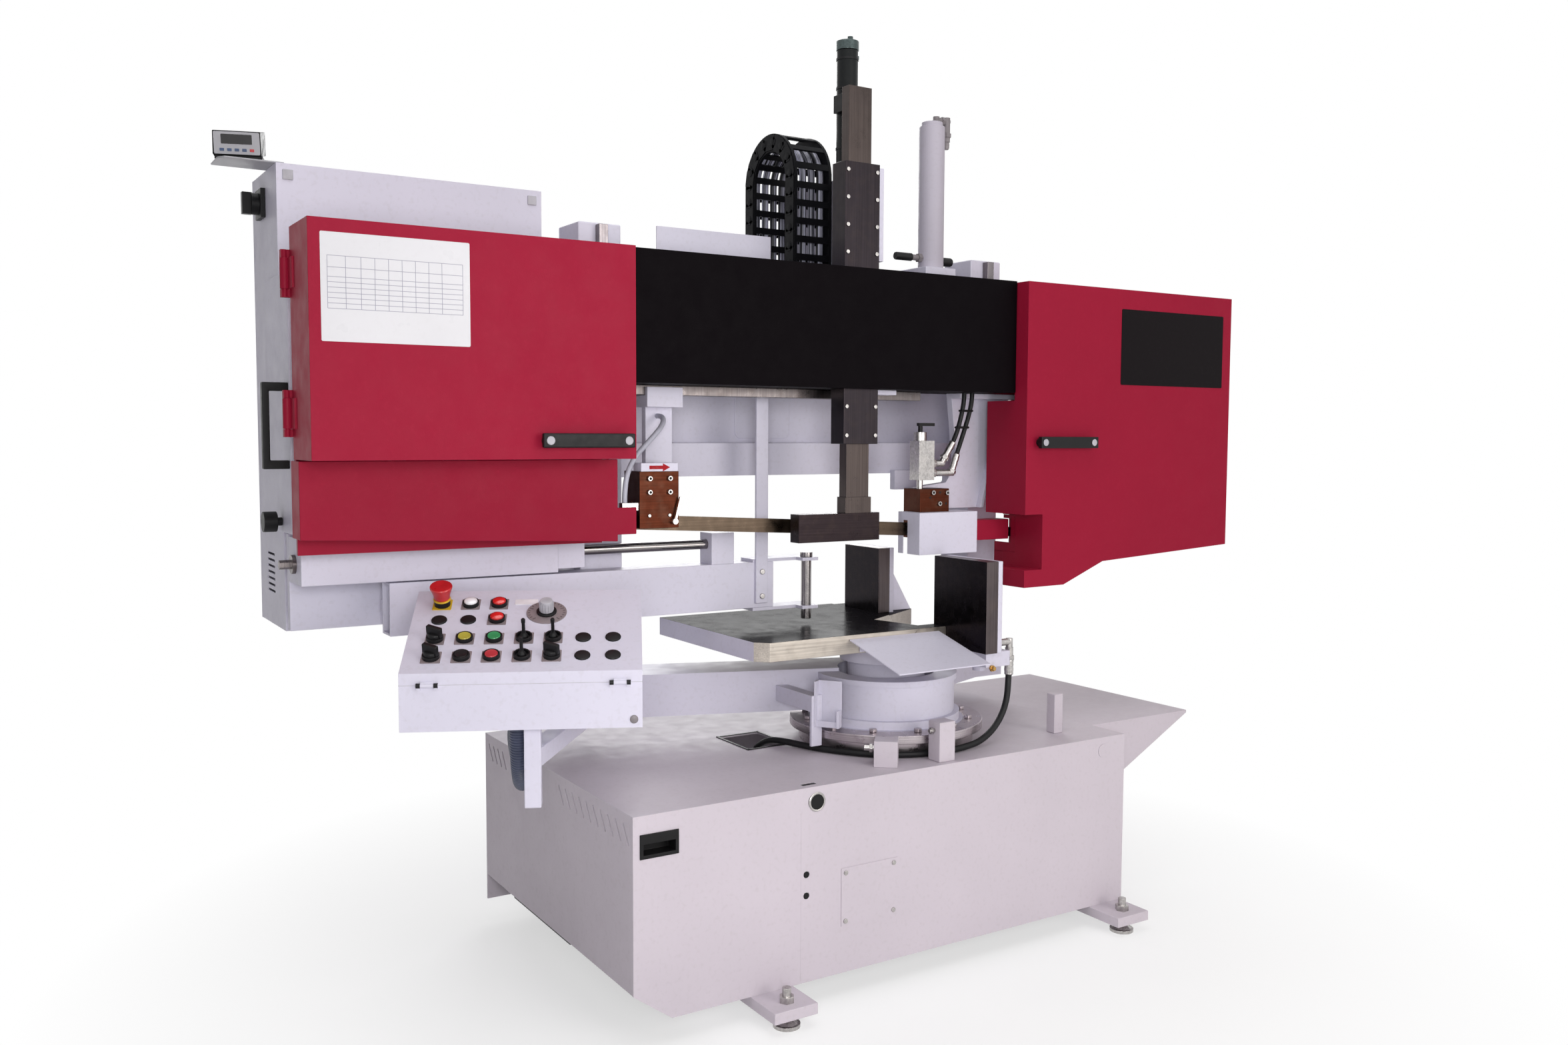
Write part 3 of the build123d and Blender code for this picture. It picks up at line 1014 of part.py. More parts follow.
lever_at = Pos(lever_x + 7, -guide_y1 - 9, lever_z + 27) * Rot(0, 15, 0)
nodes["guide_lever"] = lever + lever_at * Box(6, 5, 58)

right_blade_z = band_z(RIGHT_GUIDE_X)
rg_x0 = RIGHT_GUIDE_X - 48
rg_x1 = RIGHT_GUIDE_X + 48
rg_z0 = right_blade_z - 22
rg_z1 = rg_z0 + GUIDE_H
rg = box(rg_x0, rg_x1, -30, 40, rg_z0, rg_z1)
nodes["right_guide"] = rg - box(rg_x0 - 1, rg_x1 + 1, -BLADE_SLOT / 2, BLADE_SLOT / 2, rg_z0 - 1,
                                right_blade_z + BAND_W)
arm_low = rg_z1 - 57
nodes["guide_bracket"] = prism_y([(beam_x1 - 93, beam_z0), (beam_x1 - 1, beam_z0),
                                  (beam_x1 + 111, beam_z0 - 14), (beam_x1 + 110, beam_z0 - 60),
                                  (beam_x1 + 66, beam_z0 - 136), (beam_x1 + 38, arm_low + 102),
                                  (beam_x1 + 9, arm_low), (rg_x0 + 17, arm_low), (rg_x0 + 17, rg_z1),
                                  (beam_x1 - 108, rg_z1 + 13), (beam_x1 - 71, rg_z1 + 63)], 40, 62)
guard_z1 = channel_z1 + 27
guard = box(guard_x0, guard_x1, GUARD_Y0, GUARD_Y1, jaw_top + 1.5, guard_z1)
guard -= box(guard_x0 + 2, guard_x1 - 2, GUARD_Y0 + 2, GUARD_Y1 + 1, jaw_top, guard_z1 - 2)
guard -= box(rg_x0, rg_x1, -30, 40, guard_z1 - 7, guard_z1 + 3)
nodes["blade_guard"] = guard - box(guard_x0 - 8, guard_x1 + 9, -9, 9, jaw_top, channel_z1 + 6)
channel = box(guard_x1, channel_x1, -24, 24, channel_z0, channel_z1)
nodes["guard_channel"] = channel - box(guard_x1 - 1, channel_x1 + 1, -21, 21, channel_z0 - 1,
                                       channel_z1 - 3)
valve_x = RIGHT_GUIDE_X - 33
valve_z0 = rg_z1 + 23
valve_z1 = valve_z0 + 102
valve = box(valve_x - 18, valve_x + 32, -28, 12, valve_z0, valve_z1)
valve += rod_z(valve_x, -8, 17, valve_z1, valve_z1 + 22)
valve += rod_z(valve_x, -8, 8, rg_z1, valve_z0)
port_z = (valve_z1 - 59, valve_z1 - 84)
elbow_x = (valve_x + 66, valve_x + 100)
port_x = (valve_x + 99, valve_x + 115)
sleeve_z = (port_z[0] + 47, port_z[1] + 40)
for x0, z0, x1, z1 in zip(elbow_x, port_z, port_x, sleeve_z):
    valve += rod_x(-14, z0, TUBE_R + 3, valve_x + 32, x0 + TUBE_R)
    rise = Vector(x1 - x0, 0, z1 - z0)
    valve += Solid.make_cylinder(TUBE_R + 3, rise.length, Plane(origin=(x0, -14, z0), z_dir=rise))
nodes["lube_valve"] = valve
nodes["valve_lever"] = (rod_z(valve_x, -8, 6, valve_z1 + 22 + SLIP, valve_z1 + 38)
                        + box(valve_x - 8, valve_x + 44, -13, -3, valve_z1 + 38, valve_z1 + 46))
nodes["lamp_strip"] = box(-88, -20, -60, rail_y0 - 40, beam_z0 - 12, beam_z0)

# Operator console on an arm from the portal, with a hinged lid
con_z0 = table_top - 70
con_zf = con_z0 + CON_FRONT
con_zb = con_z0 + CON_BACK
slant = math.degrees(math.atan2(con_zb - con_zf, CON_D))
lip_drop = LID_LIP / math.cos(math.radians(slant))
con_at = Pos(CON_X, CON_Y, 0) * Rot(0, 0, CON_DEG)
half_w = CON_W / 2
con = prism_x([(0, con_z0), (CON_D, con_z0), (CON_D, con_zb - lip_drop), (0, con_zf - lip_drop)],
              -half_w, half_w)
con -= prism_x([(CON_SHEET, con_z0 + CON_SHEET), (CON_D - CON_SHEET, con_z0 + CON_SHEET),
                (CON_D - CON_SHEET, con_zb + 20), (CON_SHEET, con_zf + 20)],
               -half_w + CON_SHEET, half_w - CON_SHEET)
box_at = con_at * Pos(0, 0, con_zf) * Rot(slant, 0, 0)
top_t = CON_SHEET / math.cos(math.radians(slant))
lid = prism_x([(0, con_zf - lip_drop), (CON_D, con_zb - lip_drop), (CON_D, con_zb + top_t),
               (0, con_zf + top_t)], -half_w, half_w)
rise = (con_zb - con_zf) / CON_D * CON_SHEET
lid -= prism_x([(CON_SHEET, con_zf - lip_drop - 20), (CON_D - CON_SHEET, con_zb - lip_drop - 20),
                (CON_D - CON_SHEET, con_zb - rise), (CON_SHEET, con_zf + rise)],
               -half_w + CON_SHEET, half_w - CON_SHEET)
lid_axis = (-LID_KNUCKLE_R - PLAY, con_zf - lip_drop)
for x in (-half_w + 52, half_w - 42):
    lid += rod_x(*lid_axis, LID_KNUCKLE_R, x - 12, x + 12)
    lid += box(x - 12, x + 12, lid_axis[0], 1, lid_axis[1] + 1, lid_axis[1] + 7)
    lid -= rod_x(*lid_axis, LID_PIN_R + RUN, x - 13, x + 13)
    con += rod_x(*lid_axis, LID_PIN_R, x - 20, x + 20)
    for x0 in (x - 20, x + 12 + SLIP):
        con += rod_x(*lid_axis, LID_KNUCKLE_R, x0, x0 + 8 - SLIP)
        con += box(x0, x0 + 8 - SLIP, lid_axis[0], 1, lid_axis[1] - 9, lid_axis[1] - 1)
nodes["console_box"] = con_at * con


def on_lid(u, v):
    """Place on the lid's outer face, u across from its left and v up its slope."""
    return box_at * Pos(u - half_w, v, CON_SHEET)


def place(spot):
    return on_lid(COLS[spot[0]], ROWS[spot[1]])


pressed = {"button_yellow": (1, 1), "button_green": (2, 1), "button_black": (1, 0), "button_red": (2, 0)}
turning = {"selector_a": (0, 1), "selector_b": (0, 0), "selector_c": (4, 0)}
tilting = {"toggle_a": (3, 1), "toggle_b": (4, 1), "toggle_c": (3, 0)}
stop_spot = (0, 3)
lamps = [(1, 3), (2, 3), (2, 2)]
blanks = [(0, 2), (1, 2), (5, 1), (6, 1), (5, 0), (6, 0)]
lid_body = con_at * lid
for spot in [*pressed.values(), *turning.values(), *tilting.values(), *lamps, *blanks, stop_spot]:
    lid_body -= place(spot) * Cylinder(HOLE_R, 20)
dial_at = on_lid(*DIAL_AT)
nodes["console_lid"] = lid_body - dial_at * Cylinder(DIAL_STEM_R, 20)


def bezel(spot, bore):
    """A square plate with a collar that guides one control."""
    b = Pos(0, 0, 1) * Box(BEZEL, BEZEL, 2) + rod_z(0, 0, COLLAR_R, 2, COLLAR_H)
    b += rod_z(0, 0, HOLE_R - RUN, -16, 0)
    return place(spot) * (b - Cylinder(bore, 40))


bezels = [bezel(s, CAP_R) for s in pressed.values()]
bezels += [bezel(s, STEM_R) for s in [*turning.values(), stop_spot]]
bezels += [bezel(s, TOGGLE_BORE_R) for s in tilting.values()]
nodes["console_bezels"] = solids(*bezels)
for name, spot in pressed.items():
    nodes[name] = place(spot) * rod_z(0, 0, CAP_R - RUN, -13, COLLAR_H + 1)
knob_z0 = COLLAR_H + PLAY
for name, spot in turning.items():
    knob = rod_z(0, 0, STEM_R - RUN, -11, knob_z0 + 1)
    knob += rod_z(0, 0, COLLAR_R - 1.5, knob_z0, knob_z0 + 8)
    nodes[name] = place(spot) * Rot(0, 0, 20) * (knob + Pos(0, 0, knob_z0 + 14.6) * Box(8, 28, 14))
for name, spot in tilting.items():
    stick = rod_x(0, COLLAR_H - 3, ROCKER_R, -ROCKER_L / 2, ROCKER_L / 2)
    stick += rod_z(0, 0, 3.5, COLLAR_H - 3, COLLAR_H + 38)
    nodes[name] = place(spot) * stick
estop = rod_z(0, 0, STEM_R - RUN, -16, COLLAR_H + 16) + Pos(0, 0, COLLAR_H + 21) * Cone(16, 20, 22)
nodes["emergency_stop"] = place(stop_spot) * estop
lamp = Pos(0, 0, 1) * Box(BEZEL, BEZEL, 2) + rod_z(0, 0, COLLAR_R - 0.5, 2, 12)
lamp += rod_z(0, 0, HOLE_R - RUN, -16, 0)
nodes["console_lamps"] = solids(*[place(s) * lamp for s in lamps])
blank = rod_z(0, 0, COLLAR_R + 0.5, 0, 3) + rod_z(0, 0, HOLE_R - RUN, -8, 0)
nodes["blank_plugs"] = solids(*[place(s) * blank for s in blanks])
nodes["dial_scale"] = dial_at * (rod_z(0, 0, 40, 0, 2) - Cylinder(DIAL_STEM_R, 20))
dial = rod_z(0, 0, DIAL_STEM_R - RUN, -10, 10) + rod_z(0, 0, 20, 2 + PLAY, 12) + rod_z(0, 0, 13, 12, 30)
nodes["dial_knob"] = dial_at * dial

console_arm = con_at * box(0, POST_SIZE, POST_SET_BACK, POST_SET_BACK + POST_SIZE, arm_z1 - 118, con_z0)
arm_corners = [con_at * Pos(0, POST_SET_BACK + POST_SIZE, 0), con_at * Pos(0, POST_SET_BACK, 0),
               con_at * Pos(POST_SIZE, POST_SET_BACK, 0)]
arm_plan = [(p.position.X, p.position.Y) for p in arm_corners]
arm_plan += [(col_l_x + 74, pad_y0), (col_l_x + 26, pad_y0)]
nodes["console_arm"] = console_arm + prism_z(arm_plan, arm_z1 - 38, arm_z1 - 2)

# Free hoses and conduits: straight runs with tangent arcs at their bends


def cord_path(points):
    """A path through points with the widest tangent arcs that fit."""
    pts = [Vector(*q) for q in points]
    radii = []
    for a, b, c in zip(pts, pts[1:], pts[2:]):
        turn = math.radians((b - a).get_angle(c - b))
        radii.append(0.45 * min((b - a).length, (c - b).length) / math.tan(turn / 2))
    path = FilletPolyline(*pts, radius=radii)
    print("cord", round(path.length), "mm, bend radii", [round(q) for q in radii])
    return path


def cord(points, r):
    """A plain round hose along a path."""
    path = cord_path(points)
    return sweep(Plane(origin=path @ 0, z_dir=path % 0) * Circle(r), path=path)


def ribbed(points, steady):
    """A hose with ribs, each a loft through four circles whose X axes follow one steady direction."""
    path = cord_path(points)
    circles = []
    for k in range(RIBS):
        for share, r in ((0.0, CONDUIT_ROOT_R), (0.2, CONDUIT_R), (0.6, CONDUIT_R),
                         (0.8, CONDUIT_ROOT_R)):
            t = (k + share) / RIBS
            tangent = path % t
            x_dir = steady - tangent * steady.dot(tangent)
            circles.append((Plane(origin=path @ t, x_dir=x_dir, z_dir=tangent) * Circle(r)).face())
    end = path % 1
    last = Plane(origin=path @ 1, x_dir=steady - end * steady.dot(end), z_dir=end)
    circles.append((last * Circle(CONDUIT_ROOT_R)).face())
    bore = sweep(Plane(origin=path @ 0, z_dir=path % 0) * Circle(CONDUIT_BORE_R), path=path)
    return loft(circles, ruled=True) - bore


hose_z = BASE_TOP + 1 + HOSE_R
hose_x = fit_x + 39
hose_points = [(hose_x, fit_y, notch_z - 30), (hose_x, fit_y, notch_z - 75),
               (hose_x - 18, fit_y - 13, notch_z - 139),
               (hose_x - 60, fit_y - 24, hose_z + 36), (hose_x - 120, -228, hose_z + 7),
               (hose_x - 175, -234, hose_z)]
for deg in (-86, -102, -118, -134, -150):
    a = math.radians(deg)
    hose_points.append((RING_PATH * math.cos(a), RING_PATH * math.sin(a), hose_z))
hose_points += [(-246, -60, hose_z), (-268, -8, hose_z + 1), (-287, 42, hose_z + 3),
                (-302, 94, hose_z - 2), (-313, 131, hose_z - 28),
                (-318, 146, manifold_z1 + 30), (-318, 146, manifold_z1)]
nodes["pressure_hose"] = cord(hose_points, HOSE_R)
conduit_points = [(-1108, -290, con_z0), (-1108, -290, 656), (-1094, -261, 600), (-1070, -211, 569),
                  (-1035, -110, 570), (-1003, -5, 578), (-975, 85, 588), (-950, 150, 600),
                  (-910, 205, 608), (-853, 240, 612), (col_l_x - 78, 240, 612)]
nodes["console_conduit"] = ribbed(conduit_points, Vector(0.8, -0.6, 0))


def from_sleeve(k):
    """The first two points of a lubrication hose, straight out of its sleeve."""
    x = port_x[k] + (port_x[k] - elbow_x[k]) * 0.4
    z = sleeve_z[k] + (sleeve_z[k] - port_z[k]) * 0.4
    return [(port_x[k], -14, sleeve_z[k]), (x, -14, z)]


hose_a = from_sleeve(0) + [(226, -17, 1320), (236, -18, 1366), (236, -18, beam_z0)]
hose_b = from_sleeve(1) + [(250, -17, 1317), (263, -18, 1366), (263, -18, beam_z0)]
nodes["lube_hoses"] = solids(cord(hose_a, TUBE_R), cord(hose_b, TUBE_R))
port_mid = guide_x0 - 32
nodes["guide_hose"] = cord([(-640, guide_y1, 1318), (-640, 10, 1318), (-651, -14, 1298),
                            (-690, -24, 1262), (-733, -26, 1222), (port_mid + 1, -27, 1170),
                            (port_mid + 1, -27, guide_z0 + 59)], TUBE_R)

# Pieces of one body that are handed in together, each still a solid of its own
GROUPS = {
    "base_cabinet": ["base_cabinet", "foot_brackets", "chip_wing", "access_plate", "knockout_plug",
                     "mitre_stops"],
    "levelling_feet": ["levelling_feet", "access_screws"],
    "slew_ring": ["slew_ring", "slew_bolts", "hose_fitting"],
    "centre_pillar": ["centre_pillar", "jaw_backs", "jaw_casting", "chip_plate"],
    "swivel_frame": ["swivel_frame", "slew_inner"],
    "cross_frame": ["cross_frame", "cross_cover", "limit_box", "portal_trough", "hold_bracket",
                    "lift_mount"],
    "steel_guides": ["linear_rails", "hold_housing", "hold_screws", "hold_rod", "vice_guides"],
    "lift_cylinder": ["lift_cylinder", "lift_breather"],
    "vice_mount": ["vice_mount", "vice_cover", "vice_cylinder", "vice_boss"],
    "cabinet": ["cabinet", "cabinet_pins", "corner_caps", "cabinet_arms", "side_plate", "mounting_plate",
                "display_shelf"],
    "side_fittings": ["bow_handle", "switch_base"],
    "console_box": ["console_box", "console_arm"],
    "hold_cylinder": ["hold_cylinder", "hold_fixings"],
    "energy_chain": ["energy_chain", "chain_cables"],
    "vice_beam": ["vice_beam", "vice_rod_block", "vice_upright", "upright_screws", "vice_rod",
                  "jaw_tongues"],
    "wheel_housings": ["wheel_housings", "top_sheet", "head_trough", "lift_lug"],
    "carriages": ["carriages", "guide_rail", "wheel_shafts", "lift_rod"],
    "left_lower_cover": ["left_lower_cover", "guard_channel"],
    "blade_guard": ["blade_guard", "guide_bracket", "lamp_strip"],
    "right_guide": ["right_guide", "lube_valve"],
    "left_door": ["left_door", "left_handle"],
    "right_door": ["right_door", "right_handle"],
    "left_guide": ["left_guide", "guide_top", "guide_port", "guide_screws"],
    "console_fittings": ["console_bezels", "console_lamps", "blank_plugs", "dial_scale"],
}
grouped = {m for members in GROUPS.values() for m in members}
parts = {name: solids(*[nodes[m] for m in members]) for name, members in GROUPS.items()}
parts.update({name: shape for name, shape in nodes.items() if name not in grouped})

for name, shape in parts.items():
    moved = Pos(AXIS_X, AXIS_Y, 0) * shape
    export_step(moved, f"parts/{name}.step")
    bb = moved.bounding_box()
    print(f"{name:18s} solids {len(shape.solids()):2d} vol {shape.volume / 1e3:10.1f} cm3,",
          "box", [round(v, 1) for v in (*bb.min, *bb.max)])
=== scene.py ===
"""Looks of the mitre band saw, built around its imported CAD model."""

import json
import logging
import math
from collections.abc import Iterable
from dataclasses import dataclass
from enum import Enum
from functools import cached_property

import bmesh
import bpy
from mathutils import Matrix, Vector


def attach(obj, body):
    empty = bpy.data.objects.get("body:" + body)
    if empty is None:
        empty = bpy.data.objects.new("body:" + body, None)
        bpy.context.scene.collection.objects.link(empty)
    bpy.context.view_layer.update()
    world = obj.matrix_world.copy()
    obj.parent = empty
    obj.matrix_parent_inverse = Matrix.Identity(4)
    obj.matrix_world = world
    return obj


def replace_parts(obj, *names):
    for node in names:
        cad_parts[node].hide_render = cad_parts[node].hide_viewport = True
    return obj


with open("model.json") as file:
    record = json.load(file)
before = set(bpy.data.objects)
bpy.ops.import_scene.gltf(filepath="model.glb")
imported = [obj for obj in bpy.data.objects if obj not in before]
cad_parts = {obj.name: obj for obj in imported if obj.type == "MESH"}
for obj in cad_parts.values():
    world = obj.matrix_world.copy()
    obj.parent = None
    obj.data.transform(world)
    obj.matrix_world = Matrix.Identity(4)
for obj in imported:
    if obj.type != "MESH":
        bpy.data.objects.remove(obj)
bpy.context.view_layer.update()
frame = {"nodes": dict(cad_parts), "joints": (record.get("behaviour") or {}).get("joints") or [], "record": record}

LOG = logging.getLogger("band_saw")

BMesh = bmesh.types.BMesh
BMFace = bmesh.types.BMFace
Colour = tuple[float, float, float]
Pair = tuple[float, float]
Outline = list[Pair]
Piece = bpy.types.Object
Point = tuple[float, float, float]
Route = tuple[Point, ...]
Row = tuple[float, ...]
Socket = bpy.types.NodeSocket


class Grind(Enum):
    """How a metal face was ground, as its marks' waves to the metre along X, Y and Z."""

    ALONG_X = (5.0, 420.0, 420.0)
    ALONG_Z = (420.0, 420.0, 5.0)
    TURNED = (2.0, 2.0, 420.0)
    CAST = (160.0, 160.0, 160.0)


class Graph:
    """A material's or the world's nodes, with short calls to add and link them."""

    def __init__(self, tree: bpy.types.NodeTree) -> None:
        """Starts on a tree that has its first nodes."""
        self.tree = tree
        self.shader = tree.nodes.get("Principled BSDF")

    @cached_property
    def place(self) -> Socket:
        """The Object coordinates."""
        return self.add("TexCoord").outputs["Object"]

    def add(self, kind: str, *feeds: Socket, **settings: object) -> bpy.types.Node:
        """Adds a node.

        Args:
            kind: Its Blender type, without the word ShaderNode.
            feeds: What its first inputs read, in their order.
            settings: Its other settings, as fill takes them.

        Returns:
            The new node.
        """
        node = self.tree.nodes.new("ShaderNode" + kind)
        self.fill(node, **settings)
        for into, out in zip(node.inputs, feeds):
            self.tree.links.new(out, into)
        return node

    def fill(self, node: bpy.types.Node, **settings: object) -> None:
        """Sets a node's properties and sets or links its inputs.

        Args:
            node: The node.
            settings: Properties by their names in lower case, inputs by theirs with _ for a space.
        """
        for name, value in settings.items():
            if name.islower():
                setattr(node, name, value)
            elif isinstance(value, Socket):
                self.tree.links.new(value, node.inputs[name.replace("_", " ")])
            else:
                node.inputs[name.replace("_", " ")].default_value = value

    def feed(self, **inputs: object) -> None:
        """Sets or links the shader's inputs, by its own names."""
        self.fill(self.shader, **inputs)

    def stretched(self, scale: Point) -> Socket:
        """Returns the Object coordinates scaled on each axis."""
        return self.add("Mapping", self.place, Scale=scale).outputs["Vector"]

    def noise(self, scale: float, detail: float = 2.0, at: Socket | None = None) -> Socket:
        """Returns a noise of so many waves to the metre, on Object or other coordinates."""
        return self.add("TexNoise", at or self.place, Scale=scale, Detail=detail).outputs["Fac"]

    def ramp(self, factor: Socket, *stops: tuple[float, Colour]) -> Socket:
        """Turns a factor into a colour.

        Args:
            factor: The factor from 0 to 1.
            stops: Both ends' places and colours.

        Returns:
            The colour.
        """
        node = self.add("ValToRGB", factor)
        for element, (place, colour) in zip(node.color_ramp.elements, stops):
            element.position = place
            element.color = (*colour, 1.0)
        return node.outputs["Color"]

    def span(self, factor: Socket, low: float, high: float, ends: Pair = (0.3, 0.7)) -> Socket:
        """Returns a factor mapped from its ends on to the range from low to high."""
        node = self.add("MapRange", factor, From_Min=ends[0], From_Max=ends[1], To_Min=low, To_Max=high)
        return node.outputs["Result"]

    def stained(self, clean: Socket, stain: Colour, share: Socket) -> Socket:
        """Returns a colour with a stain mixed into it by a share, which is held from 0 to 1."""
        held = self.add("Clamp", share).outputs["Result"]
        return self.add("Mix", data_type="RGBA", Factor=held, A=clean, B=(*stain, 1.0)).outputs["Result"]

    def bump(self, height: Socket, strength: float, depth: float) -> None:
        """Gives the shader a bump of a height from 0 to 1, a strength and a depth in metres."""
        self.feed(Normal=self.add("Bump", Strength=strength, Distance=depth, Height=height).outputs["Normal"])

    def shown(self) -> Socket:
        """Returns 1 for camera, glossy and transmission rays, which show the background.

        Returns:
            The factor.
        """
        rays = self.add("LightPath").outputs
        mirrored = self.add("Math", rays["Is Glossy Ray"], rays["Is Transmission Ray"], operation="MAXIMUM")
        seen = self.add("Math", rays["Is Camera Ray"], mirrored.outputs["Value"], operation="MAXIMUM")
        return seen.outputs["Value"]

    def blend(self, factor: Socket, a: Socket, b: Socket, output: str) -> None:
        """Puts a blend of two shaders on the tree's output node."""
        blend = self.add("MixShader", factor, a, b)
        self.fill(self.tree.nodes[output], Surface=blend.outputs["Shader"])


def shade(colour: Colour, factor: float) -> Colour:
    """Returns a colour made lighter or darker by a factor, at most 1."""
    return tuple(min(1.0, c * factor) for c in colour)


@dataclass(frozen=True)
class Finish:
    """A surface finish, made into one shared material."""

    name: str
    colour: Colour
    roughness: float = 0.5

    def material(self) -> bpy.types.Material:
        """Returns the finish's material, made at its first use.

        Returns:
            The material.
        """
        found = bpy.data.materials.get(self.name)
        if found is None:
            found = bpy.data.materials.new(self.name)
            found.use_nodes = True
            self.draw(Graph(found.node_tree))
        return found

    def tones(self, graph: Graph, factor: Socket, dark: Pair, light: Pair) -> Socket:
        """Returns the colour between two shades, each with its place on the factor."""
        return graph.ramp(factor, *((place, shade(self.colour, amount)) for place, amount in (dark, light)))

    def uneven(self, graph: Graph, noise: Socket, less: float, more: float) -> Socket:
        """Returns the roughness, less or more by a noise."""
        return graph.span(noise, self.roughness - less, self.roughness + more)

    def draw(self, graph: Graph) -> None:
        """Adds the finish's nodes to a graph."""
        raise NotImplementedError


@dataclass(frozen=True)
class Paint(Finish):
    """Sprayed or powder-coated paint with its grain, cloudiness and shop dust."""

    grain_mm: float = 1.6
    grain: float = 0.10
    soil: Colour = (0.30, 0.27, 0.25)
    soiled: float = 0.10
    sheen: float = 0.25

    def draw(self, graph: Graph) -> None:
        """Adds cloudy colour, dust specks, roughness and orange-peel grain.

        Args:
            graph: The material's nodes.
        """
        clean = self.tones(graph, graph.noise(2.4, detail=4.0), (0.30, 0.94), (0.72, 1.03))
        specks = graph.span(graph.noise(95.0, detail=5.0), -1.4 * self.soiled, self.soiled)
        graph.feed(Base_Color=graph.stained(clean, self.soil, specks),
                   Roughness=self.uneven(graph, graph.noise(26.0, detail=3.0), 0.05, 0.07),
                   Specular_IOR_Level=self.sheen)
        graph.bump(graph.noise(1000.0 / self.grain_mm), self.grain, depth=0.0005)


@dataclass(frozen=True)
class Metal(Finish):
    """Ground, brushed or cast metal with its scratches and stains."""

    grind: Grind = Grind.ALONG_X
    stain: Colour = (0.10, 0.07, 0.05)
    stained: float = 0.20
    scratch: float = 0.12

    def draw(self, graph: Graph) -> None:
        """Adds scratches along the grind, dull stains and uneven gloss.

        Args:
            graph: The material's nodes.
        """
        lines = graph.noise(1.0, detail=4.0, at=graph.stretched(self.grind.value))
        clean = self.tones(graph, lines, (0.32, 0.80), (0.68, 1.12))
        cloud = graph.span(graph.noise(48.0, detail=8.0), -0.8 * self.stained, self.stained)
        graph.feed(Base_Color=graph.stained(clean, self.stain, cloud),
                   Roughness=self.uneven(graph, graph.noise(42.0, detail=5.0), 0.07, 0.10),
                   Metallic=1.0, Anisotropic=0.0 if self.grind is Grind.CAST else 0.35)
        graph.bump(lines, self.scratch, depth=0.0002)


@dataclass(frozen=True)
class Plastic(Finish):
    """Moulded plastic or rubber with a fine grain and handling marks."""

    grain: float = 0.08
    gloss: float = 0.0
    sheen: float = 0.4

    def draw(self, graph: Graph) -> None:
        """Adds faint mottling, grain and a clear coat where it is glossy."""
        graph.feed(Base_Color=self.tones(graph, graph.noise(30.0, detail=4.0), (0.3, 0.85), (0.7, 1.15)),
                   Roughness=self.uneven(graph, graph.noise(70.0, detail=4.0), 0.05, 0.08),
                   Coat_Weight=self.gloss, Coat_Roughness=0.08, Specular_IOR_Level=self.sheen)
        graph.bump(graph.noise(900.0), self.grain, depth=0.0003)


@dataclass(frozen=True)
class Strands(Finish):
    """A bundle of thin cables that lie side by side along the chain's loop."""

    # Painted shade: the dark colour between the strands stands in for the shade between the cables.
    shaded_gap: Colour = (0.012, 0.012, 0.016)

    def draw(self, graph: Graph) -> None:
        """Adds pale lines with painted shade in the dark gaps across the bundle.

        Args:
            graph: The material's nodes.
        """
        lines = graph.noise(1.0, detail=3.0, at=graph.stretched((260.0, 1.2, 1.2)))
        graph.feed(Base_Color=graph.ramp(lines, (0.44, self.shaded_gap), (0.56, self.colour)),
                   Roughness=self.roughness)
        graph.bump(lines, 0.5, depth=0.002)


@dataclass(frozen=True)
class Floor(Finish):
    """The studio's pale floor, which fades to white away from the machine."""

    dull: Colour = (0.93, 0.93, 0.94)
    fade: Pair = (0.7, 1.8)
    least_white: float = 0.58

    def draw(self, graph: Graph) -> None:
        """Adds faint mottling and the fade, in metres from the middle.

        Args:
            graph: The material's nodes.
        """
        graph.feed(Base_Color=graph.ramp(graph.noise(3.0), (0.3, self.dull), (0.7, self.colour)),
                   Roughness=self.roughness, Specular_IOR_Level=0.1)
        reach = graph.add("VectorMath", graph.place, operation="LENGTH").outputs["Value"]
        white = graph.span(reach, self.least_white, 1.0, self.fade)
        share = graph.add("Math", white, graph.shown(), operation="MULTIPLY").outputs["Value"]
        glow = graph.add("Emission").outputs["Emission"]
        graph.blend(share, graph.shader.outputs["BSDF"], glow, "Material Output")


WHITE = Paint("pale_paint", (0.645, 0.625, 0.735), 0.42)
# Painted shade: a darker copy of the pale paint, so that the lift cylinder reads less lit than the other white
# parts.
LIFT_WHITE_PAINTED_SHADE = Paint("lift_paint_painted_shade", (0.47, 0.44, 0.51), 0.48)
PRINT_GREY = Paint("ruled_print", (0.30, 0.30, 0.38), 0.40)
BASE_GREY = Paint("base_paint", (0.583, 0.530, 0.588), 0.46, grain_mm=2.2)
CRIMSON = Paint("crimson_coat", (0.292, 0.0085, 0.032), 0.46, grain_mm=2.6, grain=0.34,
                soil=(0.40, 0.02, 0.05), sheen=0.10)
BEAM_BLACK = Paint("black_coat", (0.0024, 0.0014, 0.0022), 0.55, grain_mm=2.4, grain=0.30,
                   soil=(0.006, 0.005, 0.006), sheen=0.035)
MOTOR_GREY = Paint("dark_paint", (0.045, 0.045, 0.05), 0.45)
CYLINDER_DARK = Paint("cylinder_paint", (0.0075, 0.0085, 0.009), 0.36, soil=(0.03, 0.03, 0.03), sheen=0.15)
SILVER = Paint("silver_paint", (0.40, 0.40, 0.43), 0.35)
ARROW_RED = Paint("arrow_paint", (0.34, 0.012, 0.018), 0.5, grain=0.05, sheen=0.1)
PAPER = Paint("white_sheet", (0.665, 0.66, 0.69), 0.30, grain=0.02, soiled=0.03)
PLATE_DARK = Paint("dark_plate", (0.006, 0.004, 0.005), 0.40, grain=0.05,
                   soil=(0.02, 0.018, 0.02), sheen=0.06)
